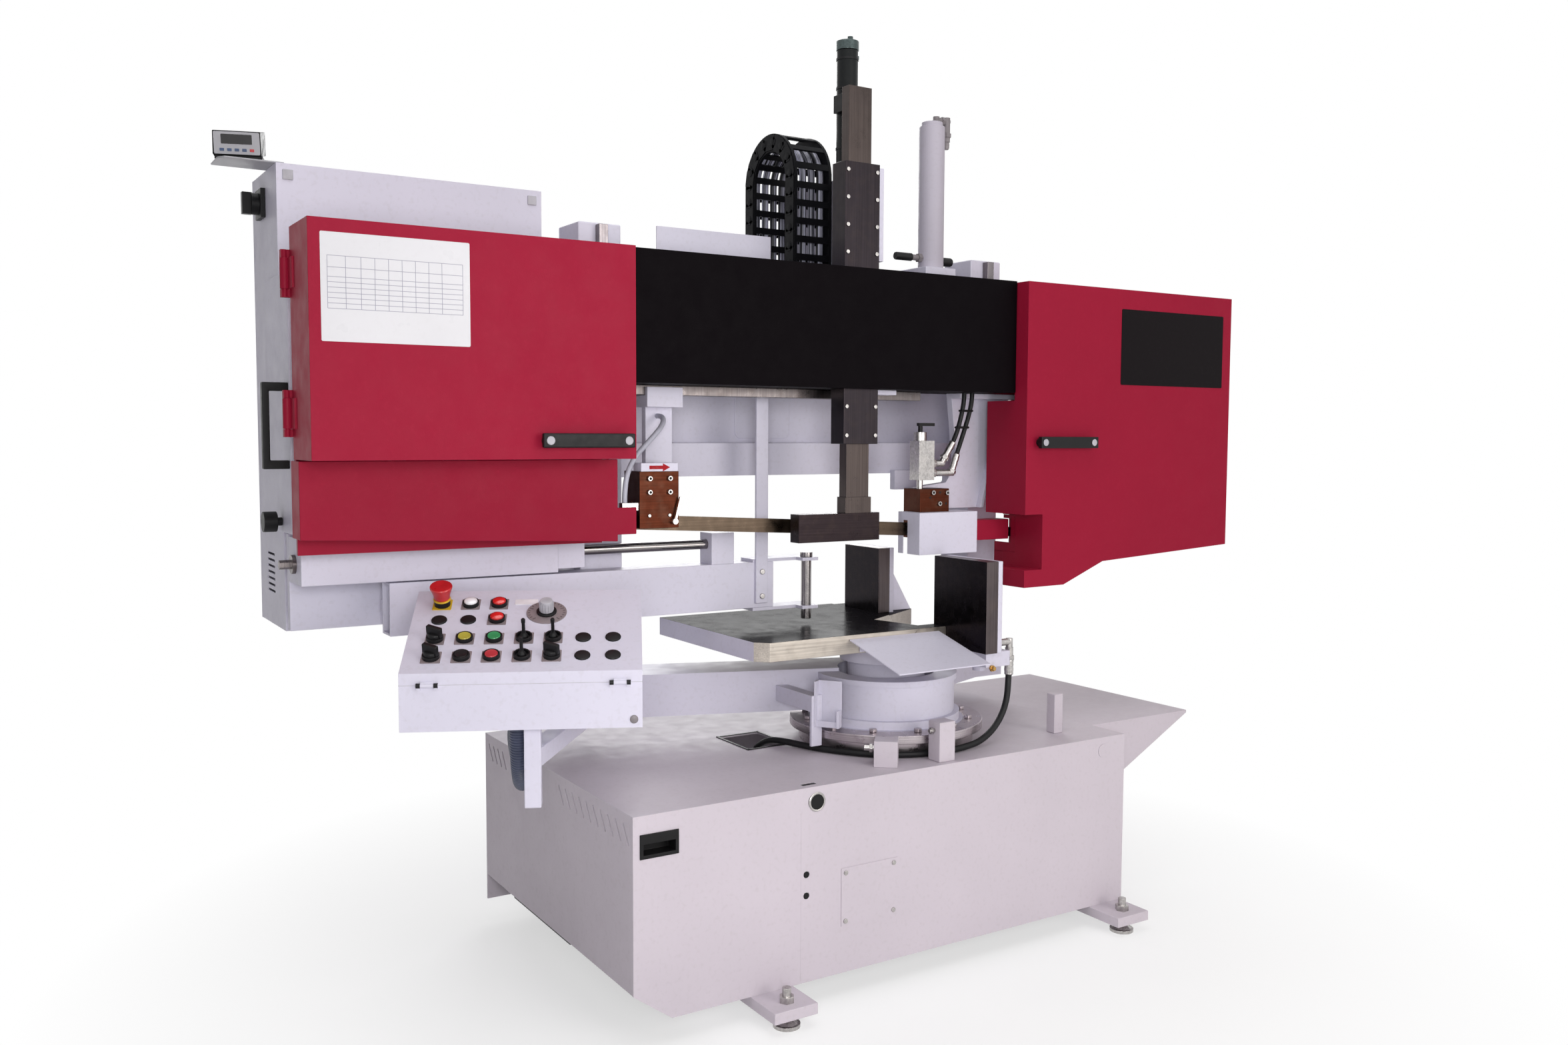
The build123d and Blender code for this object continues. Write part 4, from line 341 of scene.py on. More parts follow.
STEEL = Metal("ground_steel", (0.17, 0.15, 0.15), 0.30, Grind.ALONG_Z, scratch=0.05)
HOUSING_STEEL = Metal("housing_steel", (0.027, 0.0225, 0.026), 0.34, Grind.ALONG_Z,
                      stained=0.05, scratch=0.04)
POST_STEEL = Metal("post_steel", (0.066, 0.053, 0.050), 0.32, Grind.ALONG_Z, stained=0.03, scratch=0.04)
FOOT_STEEL = Metal("foot_steel", (0.026, 0.019, 0.021), 0.30, Grind.ALONG_X, stained=0.06, scratch=0.04)
ROD_STEEL = Metal("rod_steel", (0.28, 0.26, 0.26), 0.16, Grind.ALONG_X, stained=0.05, scratch=0.04)
RING_STEEL = Metal("ring_steel", (0.46, 0.41, 0.43), 0.30, Grind.TURNED, stained=0.02, scratch=0.03)
# Painted highlight: the table's steel made pale on its edges, standing in for the bright highlight along its front
# edge.
TABLE_EDGE_PAINTED_HIGHLIGHT = Metal("table_edge_painted_highlight", (0.50, 0.45, 0.40), 0.34, Grind.ALONG_X, stained=0.12, scratch=0.05)
# Painted reflection: the table top as a dark paint that hardly reflects, standing in for the dark surroundings
# that its polished steel mirrors; the soil on it is real dust.
TABLE_TOP_PAINTED_DARK_REFLECTION = Paint("table_top_painted_dark_reflection", (0.010, 0.009, 0.011), 0.24, grain=0.02,
                  soil=(0.05, 0.042, 0.036), soiled=0.22, sheen=0.004)
RAIL_STEEL = Metal("rail_steel", (0.21, 0.19, 0.20), 0.26, Grind.ALONG_Z, stained=0.10, scratch=0.04)
JAW_STEEL = Metal("jaw_steel", (0.012, 0.009, 0.012), 0.24, Grind.ALONG_Z, stained=0.05, scratch=0.03)
JAW_EDGE = Metal("jaw_edge_steel", (0.085, 0.070, 0.072), 0.36, Grind.ALONG_Z, stained=0.12, scratch=0.05)
ZINC = Metal("zinc_plate", (0.46, 0.44, 0.43), 0.28, Grind.CAST, stained=0.06, scratch=0.05)
CAP_STEEL = Metal("cap_steel", (0.075, 0.095, 0.095), 0.28, Grind.CAST, stained=0.06, scratch=0.05)
BRASS = Metal("brass", (0.50, 0.30, 0.10), 0.30, Grind.CAST, stained=0.10, scratch=0.05)
BAND_STEEL = Metal("band_steel", (0.085, 0.062, 0.045), 0.30, Grind.ALONG_X, stained=0.06, scratch=0.05)
BRONZE = Metal("brown_bronze", (0.062, 0.017, 0.009), 0.38, Grind.ALONG_X, stained=0.15, scratch=0.06)
CAST_IRON = Metal("cast_iron", (0.16, 0.16, 0.165), 0.55, Grind.CAST, stained=0.10)
BLACK = Plastic("black_plastic", (0.0065, 0.0062, 0.007), 0.42, sheen=0.2)
CHAIN_BLACK = Plastic("chain_plastic", (0.0048, 0.0048, 0.006), 0.45, sheen=0.08)
STRANDS = Strands("cable_strands", (0.50, 0.50, 0.62), 0.45)
RUBBER = Plastic("black_rubber", (0.007, 0.007, 0.008), 0.50, grain=0.14, sheen=0.25)
CONDUIT = Plastic("conduit_plastic", (0.050, 0.058, 0.098), 0.40)
CABLE = Plastic("pale_cable", (0.40, 0.40, 0.47), 0.45)
KNOB_GREY = Plastic("grey_plastic", (0.42, 0.41, 0.45), 0.45)
FITTING_GREY = Plastic("fitting_plastic", (0.20, 0.18, 0.19), 0.40)
HOLDER_GREY = Plastic("holder_plastic", (0.23, 0.19, 0.20), 0.40)
SCREEN = Plastic("dark_screen", (0.006, 0.004, 0.005), 0.10, gloss=0.6)
KEY_BLUE = Plastic("key_plastic", (0.05, 0.08, 0.16), 0.35)
SIGNAL_YELLOW = Plastic("signal_yellow", (0.62, 0.40, 0.025), 0.38)
SAFETY_RED = Plastic("safety_red", (0.48, 0.014, 0.018), 0.32, gloss=0.3)
LAMP_RED = Plastic("lamp_red", (0.66, 0.020, 0.018), 0.16, gloss=0.8)
LAMP_WHITE = Plastic("lamp_white", (0.80, 0.79, 0.83), 0.16, gloss=0.8)
YELLOW = Plastic("button_yellow_plastic", (0.42, 0.37, 0.05), 0.35, gloss=0.3)
GREEN = Plastic("button_green_plastic", (0.030, 0.28, 0.10), 0.35, gloss=0.3)
BUTTON_RED = Plastic("button_red_plastic", (0.46, 0.035, 0.045), 0.35, gloss=0.3)
PALE_FLOOR = Floor("pale_floor", (0.96, 0.96, 0.96), 0.9)

SWIVEL = next(j for j in frame["joints"] if j["name"] == "swivel")["pos_m"]
SITE = Matrix.Translation((SWIVEL[0], SWIVEL[1], 0.0)) @ Matrix.Scale(0.001, 4)
OFF_SITE = SITE.inverted()
BODY_OF = {node: body for body, nodes in frame["record"]["behaviour"]["bodies"].items() for node in nodes}

ANYWHERE = (-9999.0, 9999.0)
FLAT_BELOW = math.radians(0.3)
SMOOTH_BELOW = math.radians(38.0)
ROUNDED_ABOVE = 0.6

LEFT = (-1.0, 0.0, 0.0)
RIGHT = (1.0, 0.0, 0.0)
FRONT = (0.0, -1.0, 0.0)
DOWN = (0.0, 0.0, -1.0)


def at(x: float, y: float, z: float) -> Point:
    """Returns a point of the swivel frame, in millimetres, as metres in the shared frame."""
    return tuple(SITE @ Vector((x, y, z)))


def shift(x: float, y: float, z: float) -> Matrix:
    """Returns a move along the three axes."""
    return Matrix.Translation((x, y, z))


def spin(degrees: float, axis: str = "Z") -> Matrix:
    """Returns a turn about an axis."""
    return Matrix.Rotation(math.radians(degrees), 4, axis)


def lying(ahead: Point, x: float, y: float, z: float) -> Matrix:
    """Returns a place whose own Z points ahead from a point."""
    return shift(x, y, z) @ Vector(ahead).to_track_quat("Z", "Y").to_matrix().to_4x4()


def in_scene(name: str, data: bpy.types.ID) -> Piece:
    """Returns an object of a mesh, curve, light or camera, put in the scene."""
    bpy.context.scene.collection.objects.link(thing := bpy.data.objects.new(name, data))
    return thing


def mesh_of(name: str, bm: BMesh, *finishes: Finish) -> bpy.types.Mesh:
    """Turns a bmesh into a mesh and frees it.

    Args:
        name: The mesh's name.
        bm: The bmesh.
        finishes: Its finishes, by their index on its faces.

    Returns:
        The mesh.
    """
    mesh = bpy.data.meshes.new(name)
    bm.to_mesh(mesh)
    bm.free()
    for finish in finishes:
        mesh.materials.append(finish.material())
    return mesh


def soften(bm: BMesh, edges: Iterable[bmesh.types.BMEdge], width: float, segments: int = 2) -> None:
    """Rounds some edges by a width, in so many steps."""
    bmesh.ops.bevel(bm, geom=list(edges), offset=width, offset_type="OFFSET", segments=segments, profile=0.5,
                    affect="EDGES", clamp_overlap=True, material=-1)


def close(bm: BMesh) -> None:
    """Fills a mesh's open ends and turns its normals outwards."""
    bmesh.ops.holes_fill(bm, edges=[e for e in bm.edges if e.is_boundary], sides=0)
    bmesh.ops.recalc_face_normals(bm, faces=bm.faces)


@dataclass(frozen=True)
class Within:
    """Picks the solids, or the faces, of a node that lie in a box, in millimetres about the swivel axis."""

    finish: Finish
    x: Pair = ANYWHERE
    y: Pair = ANYWHERE
    z: Pair = ANYWHERE
    edge: float | None = None
    faces: bool = False

    def holds(self, faces: list[BMFace]) -> bool:
        """Says whether a solid's faces, or one face, lie in the rule's box."""
        corners = [OFF_SITE @ v.co for f in faces for v in f.verts]
        return all(a <= c[i] <= b for c in corners for i, (a, b) in enumerate((self.x, self.y, self.z)))


def islands(bm: BMesh) -> list[list[BMFace]]:
    """Returns the faces of each separate solid of a mesh.

    Args:
        bm: A mesh whose doubles are merged.

    Returns:
        One list of faces for each solid.
    """
    found, seen = [], set()
    for first in bm.faces:
        group, stack = [], [first]
        while stack:
            face = stack.pop()
            if face not in seen:
                seen.add(face)
                group.append(face)
                stack.extend(other for edge in face.edges for other in edge.link_faces)
        if group:
            found.append(group)
    return found


def publish(name: str, mesh: bpy.types.Mesh, body: str) -> Piece:
    """Puts a finished mesh in the scene as a piece that rides on a body.

    Args:
        name: The piece's name.
        mesh: Its mesh, in metres in the shared frame.
        body: The CAD body it moves with.

    Returns:
        The piece.
    """
    piece = in_scene(name, mesh)
    for polygon in mesh.polygons:
        polygon.use_smooth = True
    mesh.set_sharp_from_angle(angle=SMOOTH_BELOW)
    piece.modifiers.new("even_normals", "WEIGHTED_NORMAL").keep_sharp = True
    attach(piece, body)
    LOG.info("%s rides on %s", name, body)
    return piece


def dress(node: str, finish: Finish, edge: float = 1.0, *rules: Within) -> None:
    """Gives a CAD node rounded edges and its finishes, in a piece that stands for it.

    Args:
        node: The CAD node.
        finish: The finish of its solids.
        edge: The rounding of their edges, in millimetres.
        rules: Other finishes for some of its solids or faces.
    """
    bm = bmesh.new()
    bm.from_mesh(frame["nodes"][node].data)
    bmesh.ops.remove_doubles(bm, verts=bm.verts, dist=1e-6)
    bmesh.ops.dissolve_limit(bm, angle_limit=FLAT_BELOW, verts=bm.verts, edges=bm.edges)
    used = [finish]
    for group in islands(bm):
        rule = next((r for r in rules if not r.faces and r.holds(group)), None)
        width = edge if rule is None or rule.edge is None else rule.edge
        for face in group:
            own = next((r for r in rules if r.faces and r.holds([face])), rule)
            chosen = own.finish if own else finish
            if chosen not in used:
                used.append(chosen)
            face.material_index = used.index(chosen)
        sides = dict.fromkeys(e for f in group for e in f.edges if len(e.link_faces) == 2)
        sharp = [e for e in sides if e.calc_face_angle() > ROUNDED_ABOVE]
        if width > 0 and sharp:
            soften(bm, sharp, width / 1000.0)
    name = node + "_dressed"
    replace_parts(publish(name, mesh_of(name, bm, *used), BODY_OF[node]), node)


class Shape:
    """A mesh being modelled, in millimetres about the swivel axis."""

    def __init__(self) -> None:
        """Starts an empty shape."""
        self.bm = bmesh.new()

    def block(self, low: Point, high: Point, edge: float = 1.0, segments: int = 2) -> "Shape":
        """Adds a box with rounded edges.

        Args:
            low: Its lowest corner.
            high: Its highest corner.
            edge: The rounding of its edges.
            segments: The rounding's steps.

        Returns:
            The shape itself.
        """
        size = Vector(high) - Vector(low)
        part = bmesh.new()
        middle = Matrix.Translation((Vector(low) + Vector(high)) / 2)
        bmesh.ops.create_cube(part, size=1.0, matrix=middle @ Matrix.Diagonal((*size, 1.0)))
        if edge > 0:
            soften(part, part.edges, min(edge, 0.45 * min(size)), segments)
        return self.take(part)

    def turned(self, profile: Outline, place: Matrix = Matrix(), steps: int = 48,
               finish: int | None = None) -> "Shape":
        """Adds a body of revolution.

        Args:
            profile: Radii and heights from one end to the other, back to the first for a ring.
            place: Where its axis, its own Z, goes.
            steps: The steps round it.
            finish: The index of its finish, or None.

        Returns:
            The shape itself.
        """
        part = bmesh.new()
        chain = [part.verts.new((r, 0.0, h)) for r, h in profile]
        edges = [part.edges.new(pair) for pair in zip(chain, chain[1:])]
        bmesh.ops.spin(part, geom=chain + edges, cent=(0, 0, 0), axis=(0, 0, 1), angle=math.tau, steps=steps,
                       use_merge=True, use_duplicate=False)
        bmesh.ops.remove_doubles(part, verts=part.verts, dist=1e-4)
        close(part)
        return self.take(part, place, finish)

    def plate(self, outline: Outline, depth: float, place: Matrix = Matrix(), edge: float = 0.6,
              finish: int | None = None) -> "Shape":
        """Adds a flat plate of any outline.

        Args:
            outline: Its corners in its own XY plane.
            depth: Its thickness along its own Z.
            place: Where it goes.
            edge: The rounding of its edges.
            finish: The index of its finish, or None.

        Returns:
            The shape itself.
        """
        part = bmesh.new()
        face = part.faces.new([part.verts.new((x, y, 0.0)) for x, y in outline])
        grown = bmesh.ops.extrude_face_region(part, geom=[face])["geom"]
        raised = [g for g in grown if isinstance(g, bmesh.types.BMVert)]
        bmesh.ops.translate(part, vec=(0, 0, depth), verts=raised)
        bmesh.ops.recalc_face_normals(part, faces=part.faces)
        if edge > 0:
            soften(part, part.edges, edge)
        return self.take(part, place, finish)

    def take(self, part: BMesh, place: Matrix = Matrix(), finish: int | None = None) -> "Shape":
        """Adds another mesh to this one and frees it.

        Args:
            part: The other mesh.
            place: Where it goes.
            finish: The index of its finish, or None to keep its own.

        Returns:
            The shape itself.
        """
        mesh = mesh_of("part", part)
        mesh.transform(place)
        before = len(self.bm.faces)
        self.bm.from_mesh(mesh)
        bpy.data.meshes.remove(mesh)
        if finish is not None:
            self.bm.faces.ensure_lookup_table()
            for face in self.bm.faces[before:]:
                face.material_index = finish
        return self

    def add(self, other: "Shape", place: Matrix = Matrix(), finish: int | None = None) -> "Shape":
        """Adds a copy of another shape, at a place and with one of the piece's finishes."""
        return self.take(other.bm.copy(), place, finish)

    def piece(self, name: str, body: str, *finishes: Finish, slot: str | None = None) -> Piece:
        """Turns the shape into a finished piece.

        Args:
            name: The piece's name.
            body: The body it rides on.
            finishes: Its finishes, by their index on its faces.
            slot: The record's material slot, or None; not used.

        Returns:
            The piece.
        """
        mesh = mesh_of(name, self.bm, *finishes)
        mesh.transform(SITE)
        return publish(name, mesh, body)

    def instead(self, node: str, name: str, *finishes: Finish) -> None:
        """Turns the shape into a piece that stands for a CAD node."""
        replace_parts(self.piece(name, BODY_OF[node], *finishes, slot=node), node)


def hexagon(across: float) -> Outline:
    """Returns the corners of a hexagon of a width across its flats."""
    r = across / math.sqrt(3.0)
    return [(r * math.cos(math.radians(60 * k)), r * math.sin(math.radians(60 * k))) for k in range(6)]


def rounded(width: float, height: float, radius: float, steps: int = 5) -> Outline:
    """Draws a rectangle with rounded corners about its centre.

    Args:
        width: Its size along x.
        height: Its size along y.
        radius: Its corners' radius.
        steps: The steps round each corner.

    Returns:
        The outline.
    """
    x, y = width / 2 - radius, height / 2 - radius
    turns = [math.radians(90 * k / steps) for k in range(steps + 1)]
    return [(sx * x + radius * math.cos(a + start), sy * y + radius * math.sin(a + start))
            for sx, sy, start in ((1, 1, 0), (-1, 1, math.pi / 2), (-1, -1, math.pi), (1, -1, 1.5 * math.pi))
            for a in turns]


def spline(name: str, route: Route, resolution: int = 16) -> Piece:
    """Returns a curve of one NURBS spline over a route's control points.

    Args:
        name: The curve's name.
        route: The points, in millimetres about the swivel axis.
        resolution: The curve's steps between them.

    Returns:
        The curve's object, in the scene.
    """
    data = bpy.data.curves.new(name, "CURVE")
    data.dimensions = "3D"
    data.resolution_u = resolution
    line = data.splines.new("NURBS")
    line.points.add(len(route) - 1)
    for point, place in zip(line.points, route):
        point.co = (*at(*place), 1.0)
    line.order_u = 3
    line.use_endpoint_u = True
    return in_scene(name, data)


@dataclass
class Hose:
    """A hose or cable on its route, with its sizes in metres."""

    name: str
    node: str
    route: Route
    length: float
    diameter: float = 0.012
    finish: Finish = RUBBER
    stiffness: str = "medium"

    def build(self) -> None:
        piece = spline(self.name, self.route)
        piece.data.bevel_depth = self.diameter / 2
        piece.data.bevel_resolution = 6
        piece.data.use_fill_caps = True
        piece.data.materials.append(self.finish.material())
        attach(piece, BODY_OF[self.node])
        self.declare(piece)

    def declare(self, piece: Piece, **path: list[Point]) -> None:
        """Puts a piece in the place of the cord's CAD node and logs how many points its route has.

        Args:
            piece: The piece.
            path: The path's points in metres, under that name, or nothing; not used.
        """
        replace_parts(piece, self.node)
        LOG.info("%s follows %d points", self.name, len(self.route))


@dataclass
class RibbedConduit(Hose):
    """The ribbed cable conduit under the console."""

    root: float = 0.0164
    ribs: int = 150
    rib_shares: Row = (0.0, 0.2, 0.6, 0.8)
    sides: int = 20

    def build(self) -> None:
        guide = spline("conduit_route", self.route, resolution=48)
        path = [v.co.copy() for v in bpy.data.meshes.new_from_object(guide).vertices]
        bpy.data.objects.remove(guide)
        mesh = mesh_of(self.name, self.sweep(path), self.finish)
        self.declare(publish(self.name, mesh, BODY_OF[self.node]), path=[tuple(p) for p in path])

    def sweep(self, path: list[Vector]) -> BMesh:
        """Sets the conduit's rings along a path and joins them.

        Args:
            path: The points of its middle line, in metres.

        Returns:
            The conduit's closed mesh.
        """
        steps = [0.0]
        for a, b in zip(path, path[1:]):
            steps.append(steps[-1] + (b - a).length)
        pitch, outer = steps[-1] / self.ribs, self.diameter / 2
        profile = list(zip(self.rib_shares, (self.root, outer, outer, self.root)))
        stations = [(pitch * (k + share), radius) for k in range(self.ribs) for share, radius in profile]
        bm = bmesh.new()
        rings, seg = [], 0
        for along, radius in (*stations, (steps[-1], self.root)):
            while seg < len(steps) - 2 and steps[seg + 1] < along:
                seg += 1
            share = (along - steps[seg]) / max(1e-9, steps[seg + 1] - steps[seg])
            centre = path[seg].lerp(path[seg + 1], min(1.0, share))
            ahead = (path[min(seg + 2, len(path) - 1)] - path[max(seg - 1, 0)]).normalized()
            made = bmesh.ops.create_circle(bm, segments=self.sides, radius=radius,
                                           matrix=lying(ahead, *centre))
            rings.append(made["verts"])
        for low, high in zip(rings, rings[1:]):
            for k in range(self.sides):
                n = (k + 1) % self.sides
                bm.faces.new((low[k], low[n], high[n], high[k]))
        close(bm)
        return bm


@dataclass(frozen=True)
class Lamp:
    """A square soft lamp: its place and aim in millimetres, its side in metres and its power in watts."""

    name: str
    place: Point
    aim: Point
    side: float
    power: float
    tint: Colour = (1.0, 1.0, 1.0)

    def hang(self) -> None:
        """Hangs the lamp and turns it towards its aim."""
        data = bpy.data.lights.new(self.name, "AREA")
        data.size = self.side
        data.energy = self.power
        data.color = self.tint
        lamp = in_scene(self.name, data)
        lamp.location = at(*self.place)
        lamp.rotation_euler = (Vector(at(*self.aim)) - lamp.location).to_track_quat("-Z", "Y").to_euler()


@dataclass
class Studio:
    """Floor, lamps, world and the camera at the photograph's place."""

    eye: Point = (-2001.36, -2657.57, 1276.57)
    yaw: float = 32.396
    pitch: float = -3.905
    roll: float = 0.251
    lens: float = 29.636
    sky: Colour = (1.0, 0.96, 0.97)
    sky_strength: float = 0.18
    floor_radius: float = 40.0
    lamps: tuple[Lamp, ...] = (
        Lamp("key", (900.0, -4200.0, 1700.0), (0.0, -100.0, 900.0), 2.4, 75.0, (1.0, 0.965, 0.925)),
        Lamp("fill", (-2000.0, -2900.0, 1420.0), (-200.0, 0.0, 950.0), 0.9, 42.0),
        Lamp("back", (1500.0, 3600.0, 2600.0), (0.0, 0.0, 1200.0), 2.4, 75.0),
        Lamp("top", (-700.0, -900.0, 3900.0), (-300.0, -300.0, 900.0), 2.6, 41.0))

    def build(self) -> None:
        """Makes the stage, its light and the camera."""
        bm = bmesh.new()
        bmesh.ops.create_circle(bm, cap_ends=True, segments=96, radius=self.floor_radius)
        in_scene("floor", mesh_of("floor", bm, PALE_FLOOR))
        self.light()
        self.camera()

    def light(self) -> None:
        """Lights the world, white where it is seen, and hangs the lamps."""
        world = bpy.data.worlds.new("studio")
        world.use_nodes = True
        graph = Graph(world.node_tree)
        sky = world.node_tree.nodes["Background"]
        graph.fill(sky, Color=(*self.sky, 1.0), Strength=self.sky_strength)
        white = graph.add("Background", Color=(1.0, 1.0, 1.0, 1.0))
        graph.blend(graph.shown(), sky.outputs["Background"], white.outputs["Background"], "World Output")
        bpy.context.scene.world = world
        bpy.context.scene.view_settings.view_transform = "Standard"
        for lamp in self.lamps:
            lamp.hang()

    def camera(self) -> None:
        """Puts the camera where the photograph was taken."""
        data = bpy.data.cameras.new("camera")
        data.sensor_width = 36.0
        data.lens = self.lens
        data.clip_end = 100.0
        y, p, r = (math.radians(a) for a in (self.yaw, self.pitch, self.roll))
        ahead = Vector((math.sin(y) * math.cos(p), math.cos(y) * math.cos(p), math.sin(p)))
        right = Vector((math.cos(y), -math.sin(y), 0.0))
        up = right.cross(ahead)
        side = right * math.cos(r) + up * math.sin(r)
        top = up * math.cos(r) - right * math.sin(r)
        camera = in_scene("camera", data)
        camera.matrix_world = shift(*at(*self.eye)) @ Matrix((side, top, -ahead)).transposed().to_4x4()
        bpy.context.scene.camera = camera


@dataclass
class Cords:
    """All hoses and cables, on the routes of the part's source."""

    ring_r: float = 243.0
    ring_z: float = 505.0
    ring_turns: Row = (-86, -102, -118, -134, -150)
    hose_in: Route = (
        (250, -192, 700), (250, -192, 655), (232, -205, 591), (190, -216, 541), (130, -228, 512),
        (75, -234, 505))
    hose_out: Route = (
        (-246, -60, 505), (-268, -8, 506), (-287, 42, 508), (-302, 94, 503), (-313, 131, 477),
        (-318, 146, 450), (-318, 146, 420))
    conduit: Route = (
        (-1108, -290, 720), (-1108, -290, 656), (-1094, -261, 600), (-1070, -211, 569), (-1035, -110, 570),
        (-1003, -5, 578), (-975, 85, 588), (-950, 150, 600), (-910, 205, 608), (-853, 240, 612),
        (-790, 240, 612))
    lube_upper: Route = (
        (197, -14, 1249.87), (210.2, -14, 1268.67), (226, -17, 1320), (236, -18, 1366), (236, -18, 1388))
    lube_lower: Route = (
        (213, -14, 1217.87), (219, -14, 1233.87), (250, -17, 1317), (263, -18, 1366), (263, -18, 1388))
    guide: Route = (
        (-640, 40, 1318), (-640, 10, 1318), (-651, -14, 1298), (-690, -24, 1262), (-733, -26, 1222),
        (-755.5, -27, 1170), (-755.5, -27, 1122))

    def build(self) -> None:
        """Makes every hose and cable."""
        turns = [math.radians(a) for a in self.ring_turns]
        ring = tuple((self.ring_r * math.cos(a), self.ring_r * math.sin(a), self.ring_z) for a in turns)
        route = self.hose_in + ring + self.hose_out
        Hose("pressure_hose_rubber", "pressure_hose", route, 0.969, 0.016).build()
        RibbedConduit("console_conduit_ribbed", "console_conduit", self.conduit, 0.766, 0.036, CONDUIT,
                      stiffness="stiff").build()
        Hose("lube_hose_upper", "lube_hoses", self.lube_upper, 0.146).build()
        Hose("lube_hose_lower", "lube_hoses", self.lube_lower, 0.178).build()
        Hose("guide_hose_braided", "guide_hose", self.guide, 0.277, finish=CABLE).build()


@dataclass
class Base:
    """Base cabinet with its feet, slewing ring, table and jaws."""

    front_y: float = -314.0
    top_z: float = 496.0
    eyelet: Pair = (-424.0, 461.0)
    hole_x: float = -451.0
    hole_z: Pair = (299.0, 251.0)
    seam_x: float = -466.0
    opening_x: Pair = (-388.0, -262.0)
    opening_y: Pair = (47.0, 208.0)
    opening_edge: float = 6.0
    sleeve: Point = (250.0, -192.0, 701.0)
    plug: Point = (170.0, -215.0, 690.0)
    stop_block: Point = (-180.0, -243.6, 536.0)
    stop_turn: float = -40.0
    slim_stop: Point = (-62.0, -276.0, 571.0)

    def build(self) -> None:
        """Dresses the base's CAD nodes and adds its small fittings."""
        dress("base_cabinet", BASE_GREY, 2.5)
        dress("levelling_feet", ZINC, 0.6)
        dress("slew_ring", RING_STEEL, 1.5, Within(ZINC, z=(503, 800)))
        dress("centre_pillar", WHITE, 1.5)
        dress("recessed_pull", BLACK, 1.0)
        dress("hydraulic_unit", MOTOR_GREY, 2.0)
        # The table's edges carry the painted highlight, its top the painted dark reflection, and its left face its
        # white paint.
        dress("table", TABLE_EDGE_PAINTED_HIGHLIGHT, 2.0, Within(TABLE_TOP_PAINTED_DARK_REFLECTION, z=(787, 791), faces=True),
              Within(WHITE, x=(-457, -453), faces=True))
        dress("fixed_jaws", JAW_EDGE, 1.2, Within(JAW_STEEL, x=(99, 101), faces=True))
        self.front()
        self.opening()
        self.fittings()

    def front(self) -> None:
        """Adds the eyelet, black discs behind two holes as painted shade inside them, the front sheet's seam and a
        black block in the slot on top as painted shade.
        """
        x, y, z = self.eyelet[0], self.front_y, self.eyelet[1]
        rim = Shape().turned([(17.0, 0.2), (21.5, 0.2), (22.0, 1.2), (20.0, 2.4), (17.5, 2.0), (17.0, -6.0)],
                             lying(FRONT, x, y, z))
        rim.turned([(17.2, 0.1), (17.2, 0.5), (12.0, 0.6), (0, 0.6)], lying(FRONT, x, y, z), finish=1)
        # Painted shade: black discs just behind two holes in the front sheet stand in for the shade inside them.
        for z in self.hole_z:
            rim.turned([(0, 0), (7.9, 0), (7.9, 0.6), (0, 0.6)], lying(FRONT, self.hole_x, y + 1.2, z), 32, 1)
        rim.piece("eyelet_rim", "base", ZINC, BLACK)
        seam = Shape().block((self.seam_x, y - 0.4, 60), (self.seam_x + 1.2, y + 1, 440), 0.2)
        seam.piece("base_seam", "base", BASE_GREY)
        # Painted shade: a black block fills the slot on top, standing in for the shade inside it.
        slot = Shape().block((-450, y + 18, self.top_z - 1), (-414, y + 28, self.top_z + 0.2), 0.0)
        slot.piece("top_slot_painted_shade", "base", BLACK)

    def opening(self) -> None:
        """Adds the frame round the cable opening."""
        (x0, x1), (y0, y1), edge = self.opening_x, self.opening_y, self.opening_edge
        rim = Shape()
        for low, high in (((x0, y0), (x1, y0 + edge)), ((x0, y1 - edge), (x1, y1)),
                          ((x0, y0), (x0 + edge, y1)), ((x1 - edge, y0), (x1, y1))):
            rim.block((*low, self.top_z), (*high, self.top_z + 2.2), 0.6)
        rim.piece("cable_frame", "base", BLACK)

    def fittings(self) -> None:
        """Adds the hose sleeve, the brass plug and the stop bolts."""
        crimp = [(8.2, 0), (11.5, 0), (12.2, 3), (11.2, 8), (12.0, 12), (11.2, 18), (12.0, 24),
                 (11.2, 32), (11.6, 36), (8.3, 40)]
        sleeve = Shape().turned(crimp, lying(DOWN, *self.sleeve), 32)
        sleeve.plate(hexagon(24.0), 12.0, shift(*self.sleeve)).piece("hose_sleeve", "base", ZINC)
        plug = Shape().plate(hexagon(15.0), 7.0, lying(FRONT, *self.plug), 0.8)
        plug.turned([(0, 7), (5.5, 7), (5.5, 12), (4.8, 13), (0, 13)], lying(FRONT, *self.plug), 24)
        plug.piece("brass_plug", "base", BRASS)
        bolts = Shape()
        block = shift(*self.stop_block) @ spin(self.stop_turn) @ lying(LEFT, -28, 0, 0)
        for place, across, reach in ((block, 20.0, 23.5), (lying(LEFT, *self.slim_stop), 15.0, 14.0)):
            bolts.plate(hexagon(across), 8.0, place @ shift(0, 0, 4), 0.8)
            r = 0.38 * across
            bolts.turned([(0, 0), (r, 0), (r, reach), (r - 1.2, reach + 1.2), (0, reach + 1.2)], place, 28)
        bolts.piece("stop_bolts", "base", ZINC)


